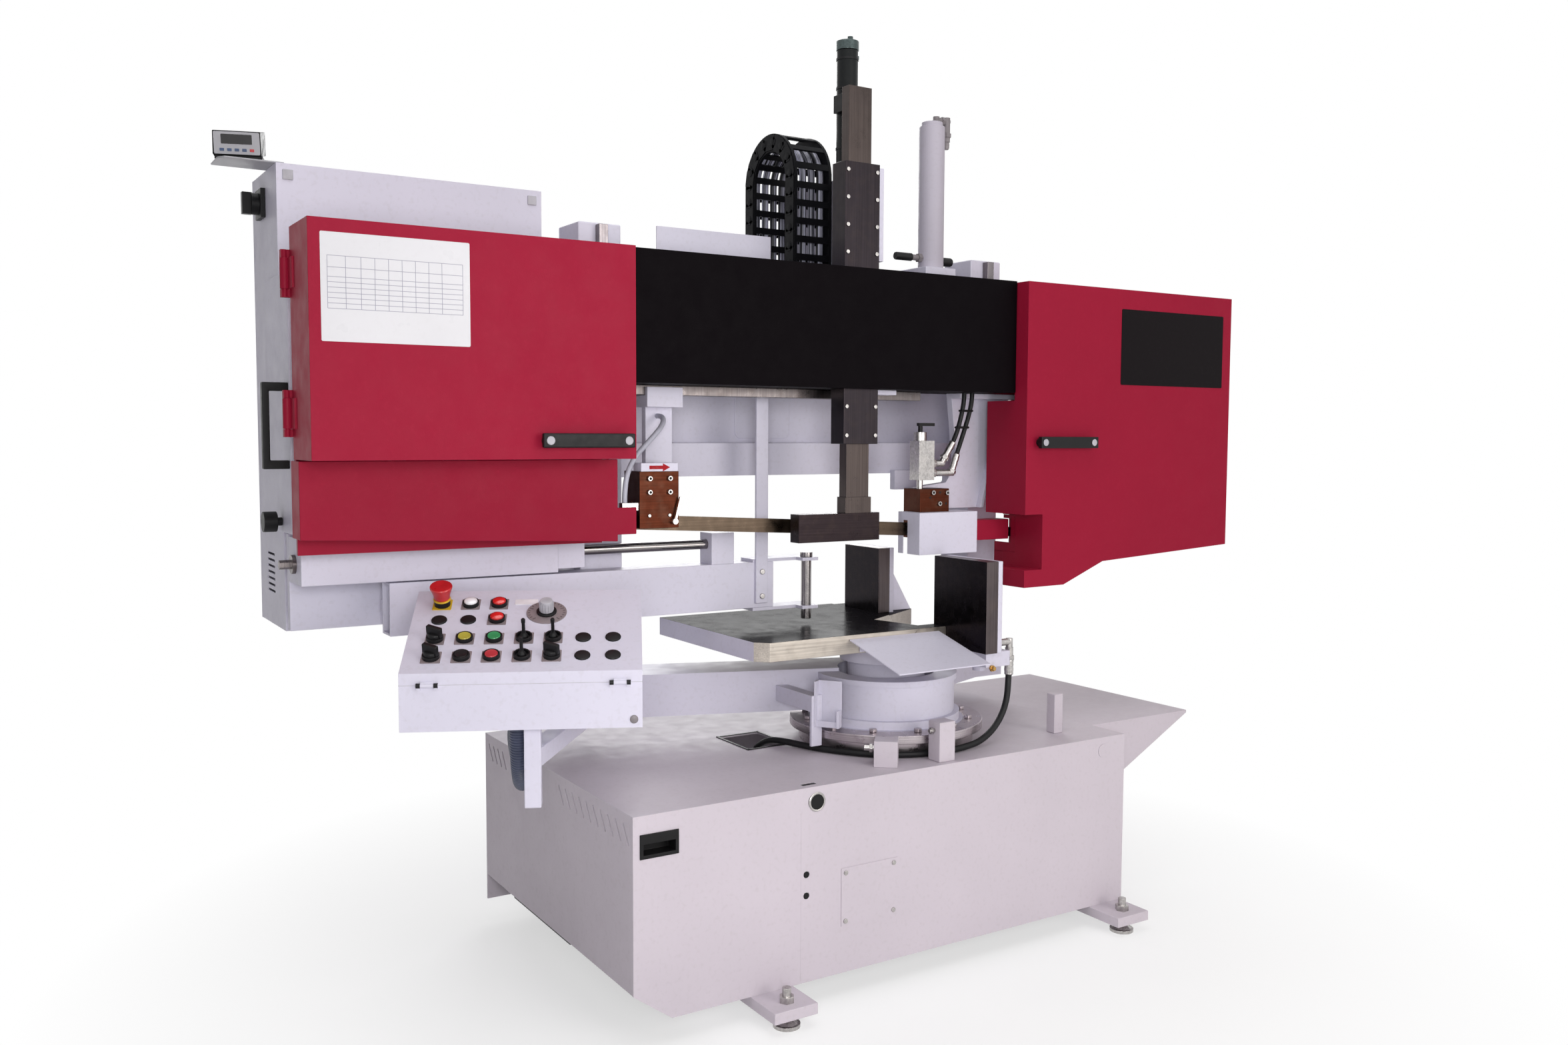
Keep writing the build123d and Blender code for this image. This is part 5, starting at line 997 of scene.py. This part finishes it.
@dataclass
class Portal:
    """Swivelling portal with columns, guides, cabinet and vice."""

    display_place: Point = (-1482.0, 345.0, 1894.0)
    display_turn: float = -20.0
    display_lean: float = 12.0
    hold_axis: Pair = (-142.0, -8.0)
    clip_z: Row = (1975.0, 2120.0, 2190.0)
    union: Point = (-118.0, -8.0, 2196.0)
    lift_top: Point = (252.0, 150.0, 2124.0)
    left_port: Pair = (-34.0, 1758.0)
    right_port: Pair = (33.0, 1753.0)
    bracket_place: Point = (-251.0, -94.0, 0.0)
    bracket_ahead: Pair = (0.59, -0.807)

    def build(self) -> None:
        """Dresses the portal's CAD nodes and adds its small fittings."""
        dress("swivel_frame", WHITE, 2.0)
        dress("columns", WHITE, 4.0)
        dress("cross_frame", WHITE, 1.5)
        dress("steel_guides", HOUSING_STEEL, 1.0, Within(RAIL_STEEL, z=(1170, 1780), y=(170, 200)),
              Within(ZINC, y=(-97, -92)), Within(STEEL, z=(860, 930)))
        # The lift cylinder takes the darker copy of the pale paint as painted shade.
        dress("lift_cylinder", LIFT_WHITE_PAINTED_SHADE, 1.5, Within(FITTING_GREY, z=(2070, 2150)))
        dress("vice_mount", WHITE, 2.0, Within(STEEL, x=(-1460, -1420)))
        dress("cabinet", WHITE, 2.0, Within(KNOB_GREY, y=(286, 291)), Within(SILVER, z=(1851, 1857)))
        dress("cabinet_door", WHITE, 2.0)
        dress("side_fittings", BLACK, 2.0)
        dress("side_knob", BLACK, 1.5)
        dress("main_switch", BLACK, 1.0)
        dress("display_unit", BLACK, 2.0)
        dress("hold_post", POST_STEEL, 1.0, Within(FOOT_STEEL, z=(1000, 1087), faces=True))
        dress("hold_cylinder", CYLINDER_DARK, 1.0, Within(CAP_STEEL, z=(2210, 2260)),
              Within(BLACK, z=(2050, 2110)))
        dress("vice_beam", WHITE, 1.5, Within(ROD_STEEL, z=(985, 1020)), Within(ZINC, y=(109, 115)))
        dress("jaw_bar", ROD_STEEL, 0.8)
        self.display()
        self.hold_fittings()
        self.lift_fittings()
        self.bracket()

    def display(self) -> None:
        """Adds the display's dark window and its row of keys."""
        place = shift(*self.display_place)
        leant = place @ spin(self.display_turn) @ spin(self.display_lean, "X")
        face = leant @ shift(0, -31, 0) @ spin(90, "X")
        panel = Shape().plate(rounded(92.0, 46.0, 3.0), 0.8, face, 0.3)
        panel.plate(rounded(62.0, 20.0, 1.5), 0.6, face @ shift(0, 8, 0.8), 0.2, 1)
        for k, finish in enumerate((3, 3, 3, 3, 2)):
            panel.plate(rounded(9.0, 6.0, 1.0), 0.8, face @ shift(-30 + 15 * k, -14, 0.8), 0.3, finish)
        panel.piece("display_face", "portal", SILVER, SCREEN, BUTTON_RED, KEY_BLUE)

    def hold_fittings(self) -> None:
        """Adds the hold-down cylinder's clips and the hose fitting on its cap."""
        clips = Shape()
        for z in self.clip_z:
            clips.turned([(26.1, 0), (27.6, 0), (27.6, 5), (26.1, 5), (26.1, 0)],
                         shift(*self.hold_axis, z), 40)
        clips.piece("cylinder_clips", "hold_down", BLACK)
        union = Shape().plate(hexagon(17.0), 9.0, shift(*self.union), 1.0)
        union.turned([(0, 9), (6, 9), (6, 20), (5, 22), (0, 22)], shift(*self.union), 24)
        union.piece("cylinder_union", "hold_down", CAP_STEEL)

    def lift_fittings(self) -> None:
        """Adds the nuts and the nipple on top of the lift cylinder and the ports at its foot."""
        x, y, z = self.lift_top
        nuts = Shape().plate(hexagon(22.0), 8.0, shift(x + 14, y, z), 1.0)
        nuts.plate(hexagon(20.0), 9.0, lying(RIGHT, x + 30, y, z + 9), 1.0)
        nuts.plate(hexagon(24.0), 11.0, shift(x + 50, y, z - 34), 1.2)
        nuts.turned([(0, 0), (7.5, 0), (8.6, 7), (8.0, 16), (6.0, 20), (0, 21)],
                    lying(DOWN, x + 50, y, z - 46), 28)
        nuts.piece("breather_nuts", "portal", FITTING_GREY)
        left = lying(LEFT, x + self.left_port[0], y, self.left_port[1])
        right = lying(RIGHT, x + self.right_port[0], y, self.right_port[1])
        ports = Shape().plate(hexagon(22.0), 12.0, left, 1.0)
        ports.turned([(0, 12), (8, 12), (8, 34), (0, 34)], left, 28)
        ports.turned([(0, 34), (10.5, 34), (10.5, 84), (9.5, 87), (0, 87)], left, 28, 1)
        ports.turned([(0, 0), (12, 0), (12, 34), (10.5, 38), (0, 39)], right, 32, 1)
        ports.piece("lift_ports", "portal", FITTING_GREY, RUBBER)

    def bracket(self) -> None:
        """Adds the open sheet bracket between the drum and its stop lug."""
        sheet = Shape().block((-32, 0, 563), (-26, 26, 676)).block((26, 0, 563), (32, 26, 606))
        sheet.block((-32, 22, 563), (32, 26, 676)).block((-27, 5, 563), (27, 10, 578))
        turn = Matrix.Rotation(math.atan2(self.bracket_ahead[1], self.bracket_ahead[0]), 4, "Z")
        Shape().add(sheet, shift(*self.bracket_place) @ turn).piece("stop_bracket", "portal", WHITE)


@dataclass
class EnergyChain:
    """The energy chain, with link plates over its CAD loop."""

    x0: float = -222.0
    x1: float = -110.0
    y: float = 224.3
    z: float = 1927.0
    r: float = 98.5
    near_z: float = 1480.0
    far_z: float = 1430.0
    pitch: float = 45.0
    bends: int = 7

    def build(self) -> None:
        """Dresses the loop and sets a link plate on each of its pitches."""
        dress("energy_chain", CHAIN_BLACK, 0.6, Within(STRANDS, x=(-216, -116)))
        link = Shape().plate(rounded(39.0, 60.0, 16.0), 2.6, edge=0.8)
        link.turned([(0, 0), (9.5, 0), (9.0, 1.2), (5.0, 1.6), (0, 1.6)], shift(0, 15, 2.6), 24)
        link.plate(rounded(16.0, 5.0, 2.0), 0.9, shift(0, -17, 2.6), 0.3)
        plates = Shape()
        for k in range(self.bends):
            a = math.pi * (k + 0.5) / self.bends
            self.pair(plates, link, -self.r * math.cos(a), self.z + self.r * math.sin(a), a)
        for side, end in ((-1, self.near_z), (1, self.far_z)):
            for k in range(int((self.z - end) / self.pitch)):
                self.pair(plates, link, side * self.r, self.z - self.pitch * (k + 0.5), 0.0)
        plates.piece("chain_links", "chain", CHAIN_BLACK)

    def pair(self, plates: Shape, link: Shape, y: float, z: float, turn: float) -> None:
        """Adds one link's plates on both sides of the chain.

        Args:
            plates: The shape to add to.
            link: One plate, flat in its own XY plane.
            y: Its place across the loop.
            z: Its height.
            turn: Its turn round the loop's bend, in radians.
        """
        lean = Matrix.Rotation(-turn, 4, "X")
        for x, flip in ((self.x1 - 0.4, 90), (self.x0 + 0.4, -90)):
            plates.add(link, shift(x, self.y + y, z) @ lean @ spin(flip, "Y") @ spin(90))


@dataclass
class Console:
    """Operator console with its lid's controls."""

    x: float = -1133.0
    y: float = -374.0
    turn: float = -25.5
    width: float = 450.0
    depth: float = 254.0
    floor: float = 720.0
    front: float = 827.0
    back: float = 950.0
    lip: float = 18.9
    sheet: float = 3.0
    columns: Row = (53.0, 109.0, 165.0, 222.0, 278.0, 336.0, 394.0)
    rows: Row = (51.0, 111.0, 177.0, 232.0)
    dial: Pair = (261.0, 200.0)
    pointer: float = 62.0
    hinge_y: float = -4.4
    hinge_z: float = 808.1

    def build(self) -> None:
        """Dresses the box and lid and makes every control."""
        dress("console_box", WHITE, 2.0)
        dress("console_lid", WHITE, 2.0)
        self.holders()
        self.caps()
        self.seams()

    def body(self) -> Matrix:
        """Returns the place of the box's front edge on the floor."""
        return shift(self.x, self.y, 0) @ spin(self.turn)

    def on_lid(self, u: float, v: float) -> Matrix:
        """Returns a place on the lid, u across it and v up its slope."""
        slant = Matrix.Rotation(math.atan2(self.back - self.front, self.depth), 4, "X")
        return self.body() @ shift(0, 0, self.front) @ slant @ shift(u - self.width / 2, v, self.sheet)

    def spot(self, column: int, row: int) -> Matrix:
        """Returns the place of the control in a column and a row."""
        return self.on_lid(self.columns[column], self.rows[row])

    def holders(self) -> None:
        """Makes the label holders, collars, lamps, plugs and the dial's scale."""
        square = Shape().plate(rounded(37.0, 37.0, 2.0), 1.4, edge=0.4)
        collar = Shape().turned([(16.4, 1.2), (16.4, 7.4), (15.8, 8.6), (13.8, 8.8), (13.2, 8.2),
                                 (13.2, 2.0)], steps=40)
        lens = Shape().turned([(13.6, 2.0), (13.6, 8.0), (12.6, 11.0), (9.0, 13.2), (4.0, 14.0),
                               (0, 14.1)], steps=40)
        plug = Shape().turned([(15.4, 0.0), (15.4, 1.6), (14.2, 3.0), (9.0, 3.6), (0, 3.8)], steps=40)
        neck = Shape().turned([(15.6, 1.2), (15.6, 13.2), (12.0, 13.4)], steps=40)
        seat = Shape().turned([(12.0, 13.4), (17.0, 13.6), (17.2, 15.8), (16.6, 16.4), (12.0, 16.4)],
                              steps=40)
        holders = Shape()
        for spot in ((1, 1), (2, 1), (1, 0), (2, 0), (0, 1), (0, 0), (4, 0), (3, 1), (4, 1), (3, 0), (1, 3),
                     (2, 3), (2, 2)):
            holders.add(square, self.spot(*spot), 0).add(collar, self.spot(*spot), 1)
        stop = self.spot(0, 3)
        holders.add(square, stop, 2).add(neck, stop, 1).add(seat, stop, 2)
        holders.plate(rounded(46.0, 19.0, 2.0), 1.2, self.on_lid(219.0, 239.0), 0.3, 3)
        for column, row, finish in ((1, 3, 3), (2, 3, 4), (2, 2, 4)):
            holders.add(lens, self.spot(column, row), finish)
        for spot in ((0, 2), (1, 2), (5, 1), (6, 1), (5, 0), (6, 0)):
            holders.add(plug, self.spot(*spot), 1)
        self.scale(holders)
        holders.instead("console_fittings", "console_controls", HOLDER_GREY, BLACK, SIGNAL_YELLOW, LAMP_WHITE,
                        LAMP_RED)

    def scale(self, holders: Shape) -> None:
        """Adds the dial's scale with its strokes, every fifth one longer.

        Args:
            holders: The shape to add to.
        """
        place = self.on_lid(*self.dial)
        holders.turned([(6, 0), (40, 0), (40, 1.6), (39.4, 2), (6, 2), (6, 0)], place, 72)
        for k in range(21):
            size = 8.0 if k % 5 == 0 else 4.5
            tick = Shape().block((37.0 - size, -0.5, 2.0), (37.0, 0.5, 2.25), 0.0)
            holders.add(tick, place @ spin(225.0 - 13.5 * k), 1)

    def caps(self) -> None:
        """Makes the buttons, selectors, toggles, the emergency stop and the dial's knob."""
        cap = [(0, -12), (11.6, -12), (12.4, 2.0), (12.4, 8.6), (11.6, 9.6), (9.5, 9.3), (0, 9.2)]
        for name, spot, finish in (("button_yellow", (1, 1), YELLOW), ("button_green", (2, 1), GREEN),
                                   ("button_black", (1, 0), BLACK), ("button_red", (2, 0), BUTTON_RED)):
            Shape().turned(cap, self.spot(*spot)).instead(name, name + "_cap", finish)
        knob = Shape().turned([(0, -10), (6, -10), (6, 8.5), (13.4, 8.5), (13.6, 12.0), (12.4, 15.0),
                               (10.5, 16.4), (0, 16.4)])
        knob.block((-5, -16, 9), (5, 16, 30), 2.2, 3)
        for name, spot in (("selector_a", (0, 1)), ("selector_b", (0, 0)), ("selector_c", (4, 0))):
            Shape().add(knob, self.spot(*spot) @ spin(self.pointer)).instead(name, name + "_knob", BLACK)
        stick = [(0, -4), (8.4, -2), (8.6, 5.5), (7.4, 9.0), (4.4, 13.0), (3.4, 18.0), (3.2, 36.0),
                 (4.0, 38.0), (4.2, 44.0), (3.0, 46.0), (0, 46.0)]
        for name, spot in (("toggle_a", (3, 1)), ("toggle_b", (4, 1)), ("toggle_c", (3, 0))):
            Shape().turned(stick, self.spot(*spot)).instead(name, name + "_stick", BLACK)
        mushroom = [(0, -14), (6, -14), (6, 9), (13.6, 9), (13.8, 16), (16.0, 19), (16.6, 25), (18.8, 33),
                    (21.6, 40), (22.4, 43.5), (21.2, 45.8), (17.0, 46.6), (9.0, 46.0), (0, 45.8)]
        Shape().turned(mushroom, self.spot(0, 3)).instead("emergency_stop", "emergency_stop_head", SAFETY_RED)
        skirt = Shape().turned([(0, -9), (4.8, -9), (4.8, 2.5), (20.0, 2.5), (20.0, 5.0), (18.8, 6.2),
                                (13.8, 6.6)], steps=64)
        grip = Shape().turned([(13.8, 6.0), (13.4, 26.0), (12.2, 29.2), (10.0, 30.0), (0, 30.0)], steps=64)
        flute = Shape().block((13.0, -1.0, 7.5), (14.6, 1.0, 25.5), 0.6)
        for k in range(16):
            grip.add(flute, spin(360.0 * k / 16))
        place = self.on_lid(*self.dial)
        Shape().add(skirt, place, 1).add(grip, place, 0).instead("dial_knob", "dial_grip", KNOB_GREY, BLACK)

    def seams(self) -> None:
        """Adds a grey strip as the painted shadow line of the lid's seam, the hinges' dark sleeves and the front
        screw.
        """
        half, rise = self.width / 2, self.back - self.front
        low, high = self.front - self.lip - 0.6, self.front - self.lip + 0.3
        # Painted shadow: a thin grey strip along the lid's lip, on the front and both sides, stands in for the
        # shadow line of the seam between lid and box.
        seam_shadow = Shape().block((-half, -0.2, low), (half, 1.0, high), 0.0)
        flank = [(0, low), (self.depth, low + rise), (self.depth, high + rise), (0, high)]
        for x in (-half - 0.2, half - 0.8):
            seam_shadow.plate(flank, 1.0, shift(x, 0, 0) @ spin(90) @ spin(90, "X"), 0.0)
        Shape().add(seam_shadow, self.body()).piece("console_seam_shadow", "portal", KNOB_GREY)
        ring = Shape().turned([(3.9, 0), (4.6, 0), (4.6, 7.7), (3.9, 7.7), (3.9, 0)], steps=20)
        rubber = Shape()
        for x in (-half + 52, half - 42):
            for a in (x - 20.0, x + 12.3):
                rubber.add(ring, self.body() @ lying(RIGHT, a, self.hinge_y, self.hinge_z))
        rubber.piece("console_seams", "portal", BLACK)
        screw = [(0, 0), (8.0, 0), (8.0, 1.4), (6.5, 2.6), (0, 3.0)]
        place = self.body() @ lying(FRONT, half - 16, 0, self.floor + 16)
        Shape().turned(screw, place, 32).piece("console_screw", "portal", FITTING_GREY)


@dataclass
class SawHead:
    """Saw head with its beam, doors, wheels, band and blade guides."""

    door_y: float = -152.0
    sheet: Pair = (-1290.5, 1548.0)
    grid_x: Pair = (-130.0, 128.0)
    grid_z: Pair = (-40.0, 58.0)
    grid_columns: Row = (0.0, 0.13, 0.24, 0.34, 0.44, 0.54, 0.64, 0.74, 0.84, 1.0)
    grid_rows: Row = (0.0, 0.22, 0.40, 0.50, 0.60, 0.70, 0.80, 0.90, 1.0)
    plate: Pair = (885.0, 1519.0)
    blade_left: Pair = (-675.0, 1074.4)
    blade_slope: float = -0.06824
    teeth_from: float = 62.0
    teeth_length: float = 620.0
    tooth: float = 8.0
    guide_face_y: float = -30.0
    hose_y: float = -14.0

    def build(self) -> None:
        """Dresses the head's CAD nodes and adds its details."""
        handle = Within(BLACK, y=(-180, -151), edge=5.0)
        dress("head_beam", BEAM_BLACK, 4.0)
        dress("wheel_housings", CRIMSON, 1.0, Within(WHITE, x=(-600, -260)),
              Within(MOTOR_GREY, x=(-230, 290)))
        dress("carriages", STEEL, 1.0)
        dress("left_lower_cover", CRIMSON, 2.0)
        dress("blade_guard", WHITE, 1.5)
        dress("right_guide", BRONZE, 1.0, Within(ZINC, z=(1130, 1290)))
        dress("saw_band", BAND_STEEL, 0.0)
        dress("gear_motor", MOTOR_GREY, 2.0)
        dress("left_door", CRIMSON, 6.0, handle)
        dress("right_door", CRIMSON, 6.0, handle)
        dress("left_wheel", CAST_IRON, 1.5)
        dress("right_wheel", CAST_IRON, 1.5)
        dress("guide_arm", WHITE, 1.0)
        dress("left_guide", BRONZE, 1.0, Within(WHITE, z=(1190, 1220)), Within(ZINC, y=(-48, -39)),
              Within(ZINC, x=(-770, -720)))
        dress("guide_lever", ZINC, 0.4)
        dress("valve_lever", BLACK, 0.4)
        self.plates()
        self.teeth()
        self.guides()
        self.bracket()
        self.sleeves()
        self.slot_panel()

    def plates(self) -> None:
        """Adds the empty ruled sheet and the bare plate on the doors and the handles' end caps."""
        x, y, z = self.sheet[0], self.door_y, self.sheet[1]
        (x0, x1), (z0, z1) = self.grid_x, self.grid_z
        across = [x0 + (x1 - x0) * share for share in self.grid_columns]
        down = [z1 - (z1 - z0) * share for share in self.grid_rows]
        sheet = Shape().plate(rounded(285.0, 203.0, 3.0), 0.6, lying(FRONT, x, y, z), 0.2)
        for low, high in ([((a - 0.5, -0.7, z0), (a + 0.5, -0.5, z1)) for a in across]
                          + [((x0, -0.7, a - 0.5), (x1, -0.5, a + 0.5)) for a in down]):
            sheet.add(Shape().block(low, high, 0.0), shift(x, y, z), 1)
        sheet.piece("left_door_sheet", "left_door", PAPER, PRINT_GREY)
        plate = Shape().plate(rounded(416.0, 206.0, 4.0), 1.0,
                              lying(FRONT, self.plate[0], y, self.plate[1]), 0.4)
        plate.piece("right_door_plate", "right_door", PLATE_DARK)
        cap = Shape().turned([(0, -1.0), (9.0, -1.0), (9.0, 0.6), (8.2, 1.4), (0, 1.7)], steps=36)
        for door, ends, z in (("left_door", (-991.0, -815.0), 1262.0),
                              ("right_door", (380.0, 556.0), 1258.4)):
            caps = Shape()
            for x in ends:
                caps.add(cap, lying(FRONT, x, y - 26.0, z))
            caps.piece(door + "_handle_caps", door, KNOB_GREY)

    def teeth(self) -> None:
        """Adds the saw band's teeth between the guides."""
        outline = [(self.teeth_length, 0.5), (0.0, 0.5)]
        for k in range(int(self.teeth_length / self.tooth)):
            outline += [(k * self.tooth + x, z) for x, z in ((1.0, -3.4), (4.2, -1.2), (7.6, -0.2))]
        x, z = self.blade_left[0] + self.teeth_from, self.blade_left[1] + self.blade_slope * self.teeth_from
        lean = Matrix.Rotation(-math.atan(self.blade_slope), 4, "Y")
        place = shift(x, 0.8, z) @ lean @ lying(FRONT, 0, 0, 0)
        Shape().plate(outline, 1.6, place, 0.0).piece("band_teeth", "head", BAND_STEEL)

    def guides(self) -> None:
        """Adds the guides' screws, black hexagons as painted shade in their sockets, and the arrow on the left
        guide.
        """
        # Painted shade: flat black hexagons stand in for the shade inside the left guide's screw sockets.
        sockets = Shape()
        for x in (-700.0, -650.0):
            for z in (1145.0, 1176.0):
                sockets.plate(hexagon(6.0), 0.3, lying(FRONT, x, -47.0, z), 0.0)
        sockets.piece("guide_sockets_painted_shade", "guide", BLACK)
        arrow = [(-26, -4), (8, -4), (8, -9), (26, 0), (8, 9), (8, 4), (-26, 4)]
        sign = Shape().plate(arrow, 0.4, lying(FRONT, -675.0, -42.0, 1201.0), 0.0)
        sign.piece("guide_arrow", "guide", ARROW_RED)
        head = [(0, 0), (6.5, 0), (6.5, 4.1), (5.85, 5), (0, 5)]
        heads = Shape()
        for x, z in ((124.0, 1127.0), (171.0, 1126.0), (146.0, 1098.0)):
            place = lying(FRONT, x, self.guide_face_y, z)
            # Painted shade: a flat black hexagon on each head stands in for the shade inside its socket.
            heads.turned(head, place, 24).plate(hexagon(6.5), 0.3, place @ shift(0, 0, 5), 0.0, 1)
        # Painted shade: flat black hexagons stand in for the shade inside the sockets of three more screws.
        for x, z in ((148.0, 1127.0), (116.0, 1114.0), (169.0, 1098.0)):
            heads.plate(hexagon(6.0), 0.2, lying(FRONT, x, self.guide_face_y, z), 0.0, 1)
        heads.piece("right_guide_screws", "head", ZINC, BLACK)

    def bracket(self) -> None:
        """Adds the rim and top flange of the right guide's cast bracket."""
        rim = [(444, 1374), (443, 1328), (399, 1252), (371, 1182), (342, 1080), (331, 1080), (360, 1185),
               (388, 1257), (431, 1331), (431, 1368)]
        casting = Shape().plate(rim, 20.0, lying(FRONT, 0.0, 40.5, 0.0), 2.0)
        casting.block((238, 2, 1374), (458, 40, 1387.6), 2.0).piece("bracket_rim", "head", WHITE)

    def sleeves(self) -> None:
        """Adds the crimped sleeves, nuts and ties of the lubrication hoses."""
        crimp = [(6.2, -34), (9.4, -34), (9.8, -30), (8.8, -24), (9.6, -18), (8.8, -12), (9.6, -6),
                 (8.8, 2), (9.2, 8), (6.2, 12)]
        fittings = Shape()
        for x, z, dx, dz in ((197.0, 1249.87, 33.0, 47.0), (213.0, 1217.87, 15.0, 40.0)):
            place = lying((dx, 0.0, dz), x, self.hose_y, z)
            fittings.turned(crimp, place, 28).plate(hexagon(21.0), 9.0, place @ shift(0, 0, -44), 1.0)
        for z in (1202.9, 1177.9):
            fittings.plate(hexagon(21.0), 10.0, lying(RIGHT, 132.0, self.hose_y, z), 1.0)
        fittings.piece("lube_fittings", "head", ZINC)
        ties = Shape()
        for x, y, z in ((231.0, -17.4, 1341.0), (219.0, -16.0, 1297.0)):
            ties.block((x - 8, y - 8, z - 3), (x + 32, y + 8, z + 3), 2.5)
        ties.piece("hose_ties", "head", BLACK)

    def slot_panel(self) -> None:
        """Adds the sheet that closes the right door's slot round the band."""
        panel = Shape()
        for low, high in (((-45, 958), (40, 985)), ((4, 925), (40, 960)), ((-45, 984), (-25, 1061)),
                          ((-26, 1051), (4, 1061))):
            panel.block((400.5, *low), (402.5, *high), 0.5)
        panel.piece("slot_panel", "head", CRIMSON)


def main() -> None:
    """Builds the machine piece by piece."""
    logging.basicConfig(level=logging.INFO, format="%(name)s: %(message)s")
    for part in (Studio(), Cords(), Base(), Portal(), EnergyChain(), Console(), SawHead()):
        part.build()
        LOG.info("%s is built", type(part).__name__)


if __name__ == "__main__":
    main()
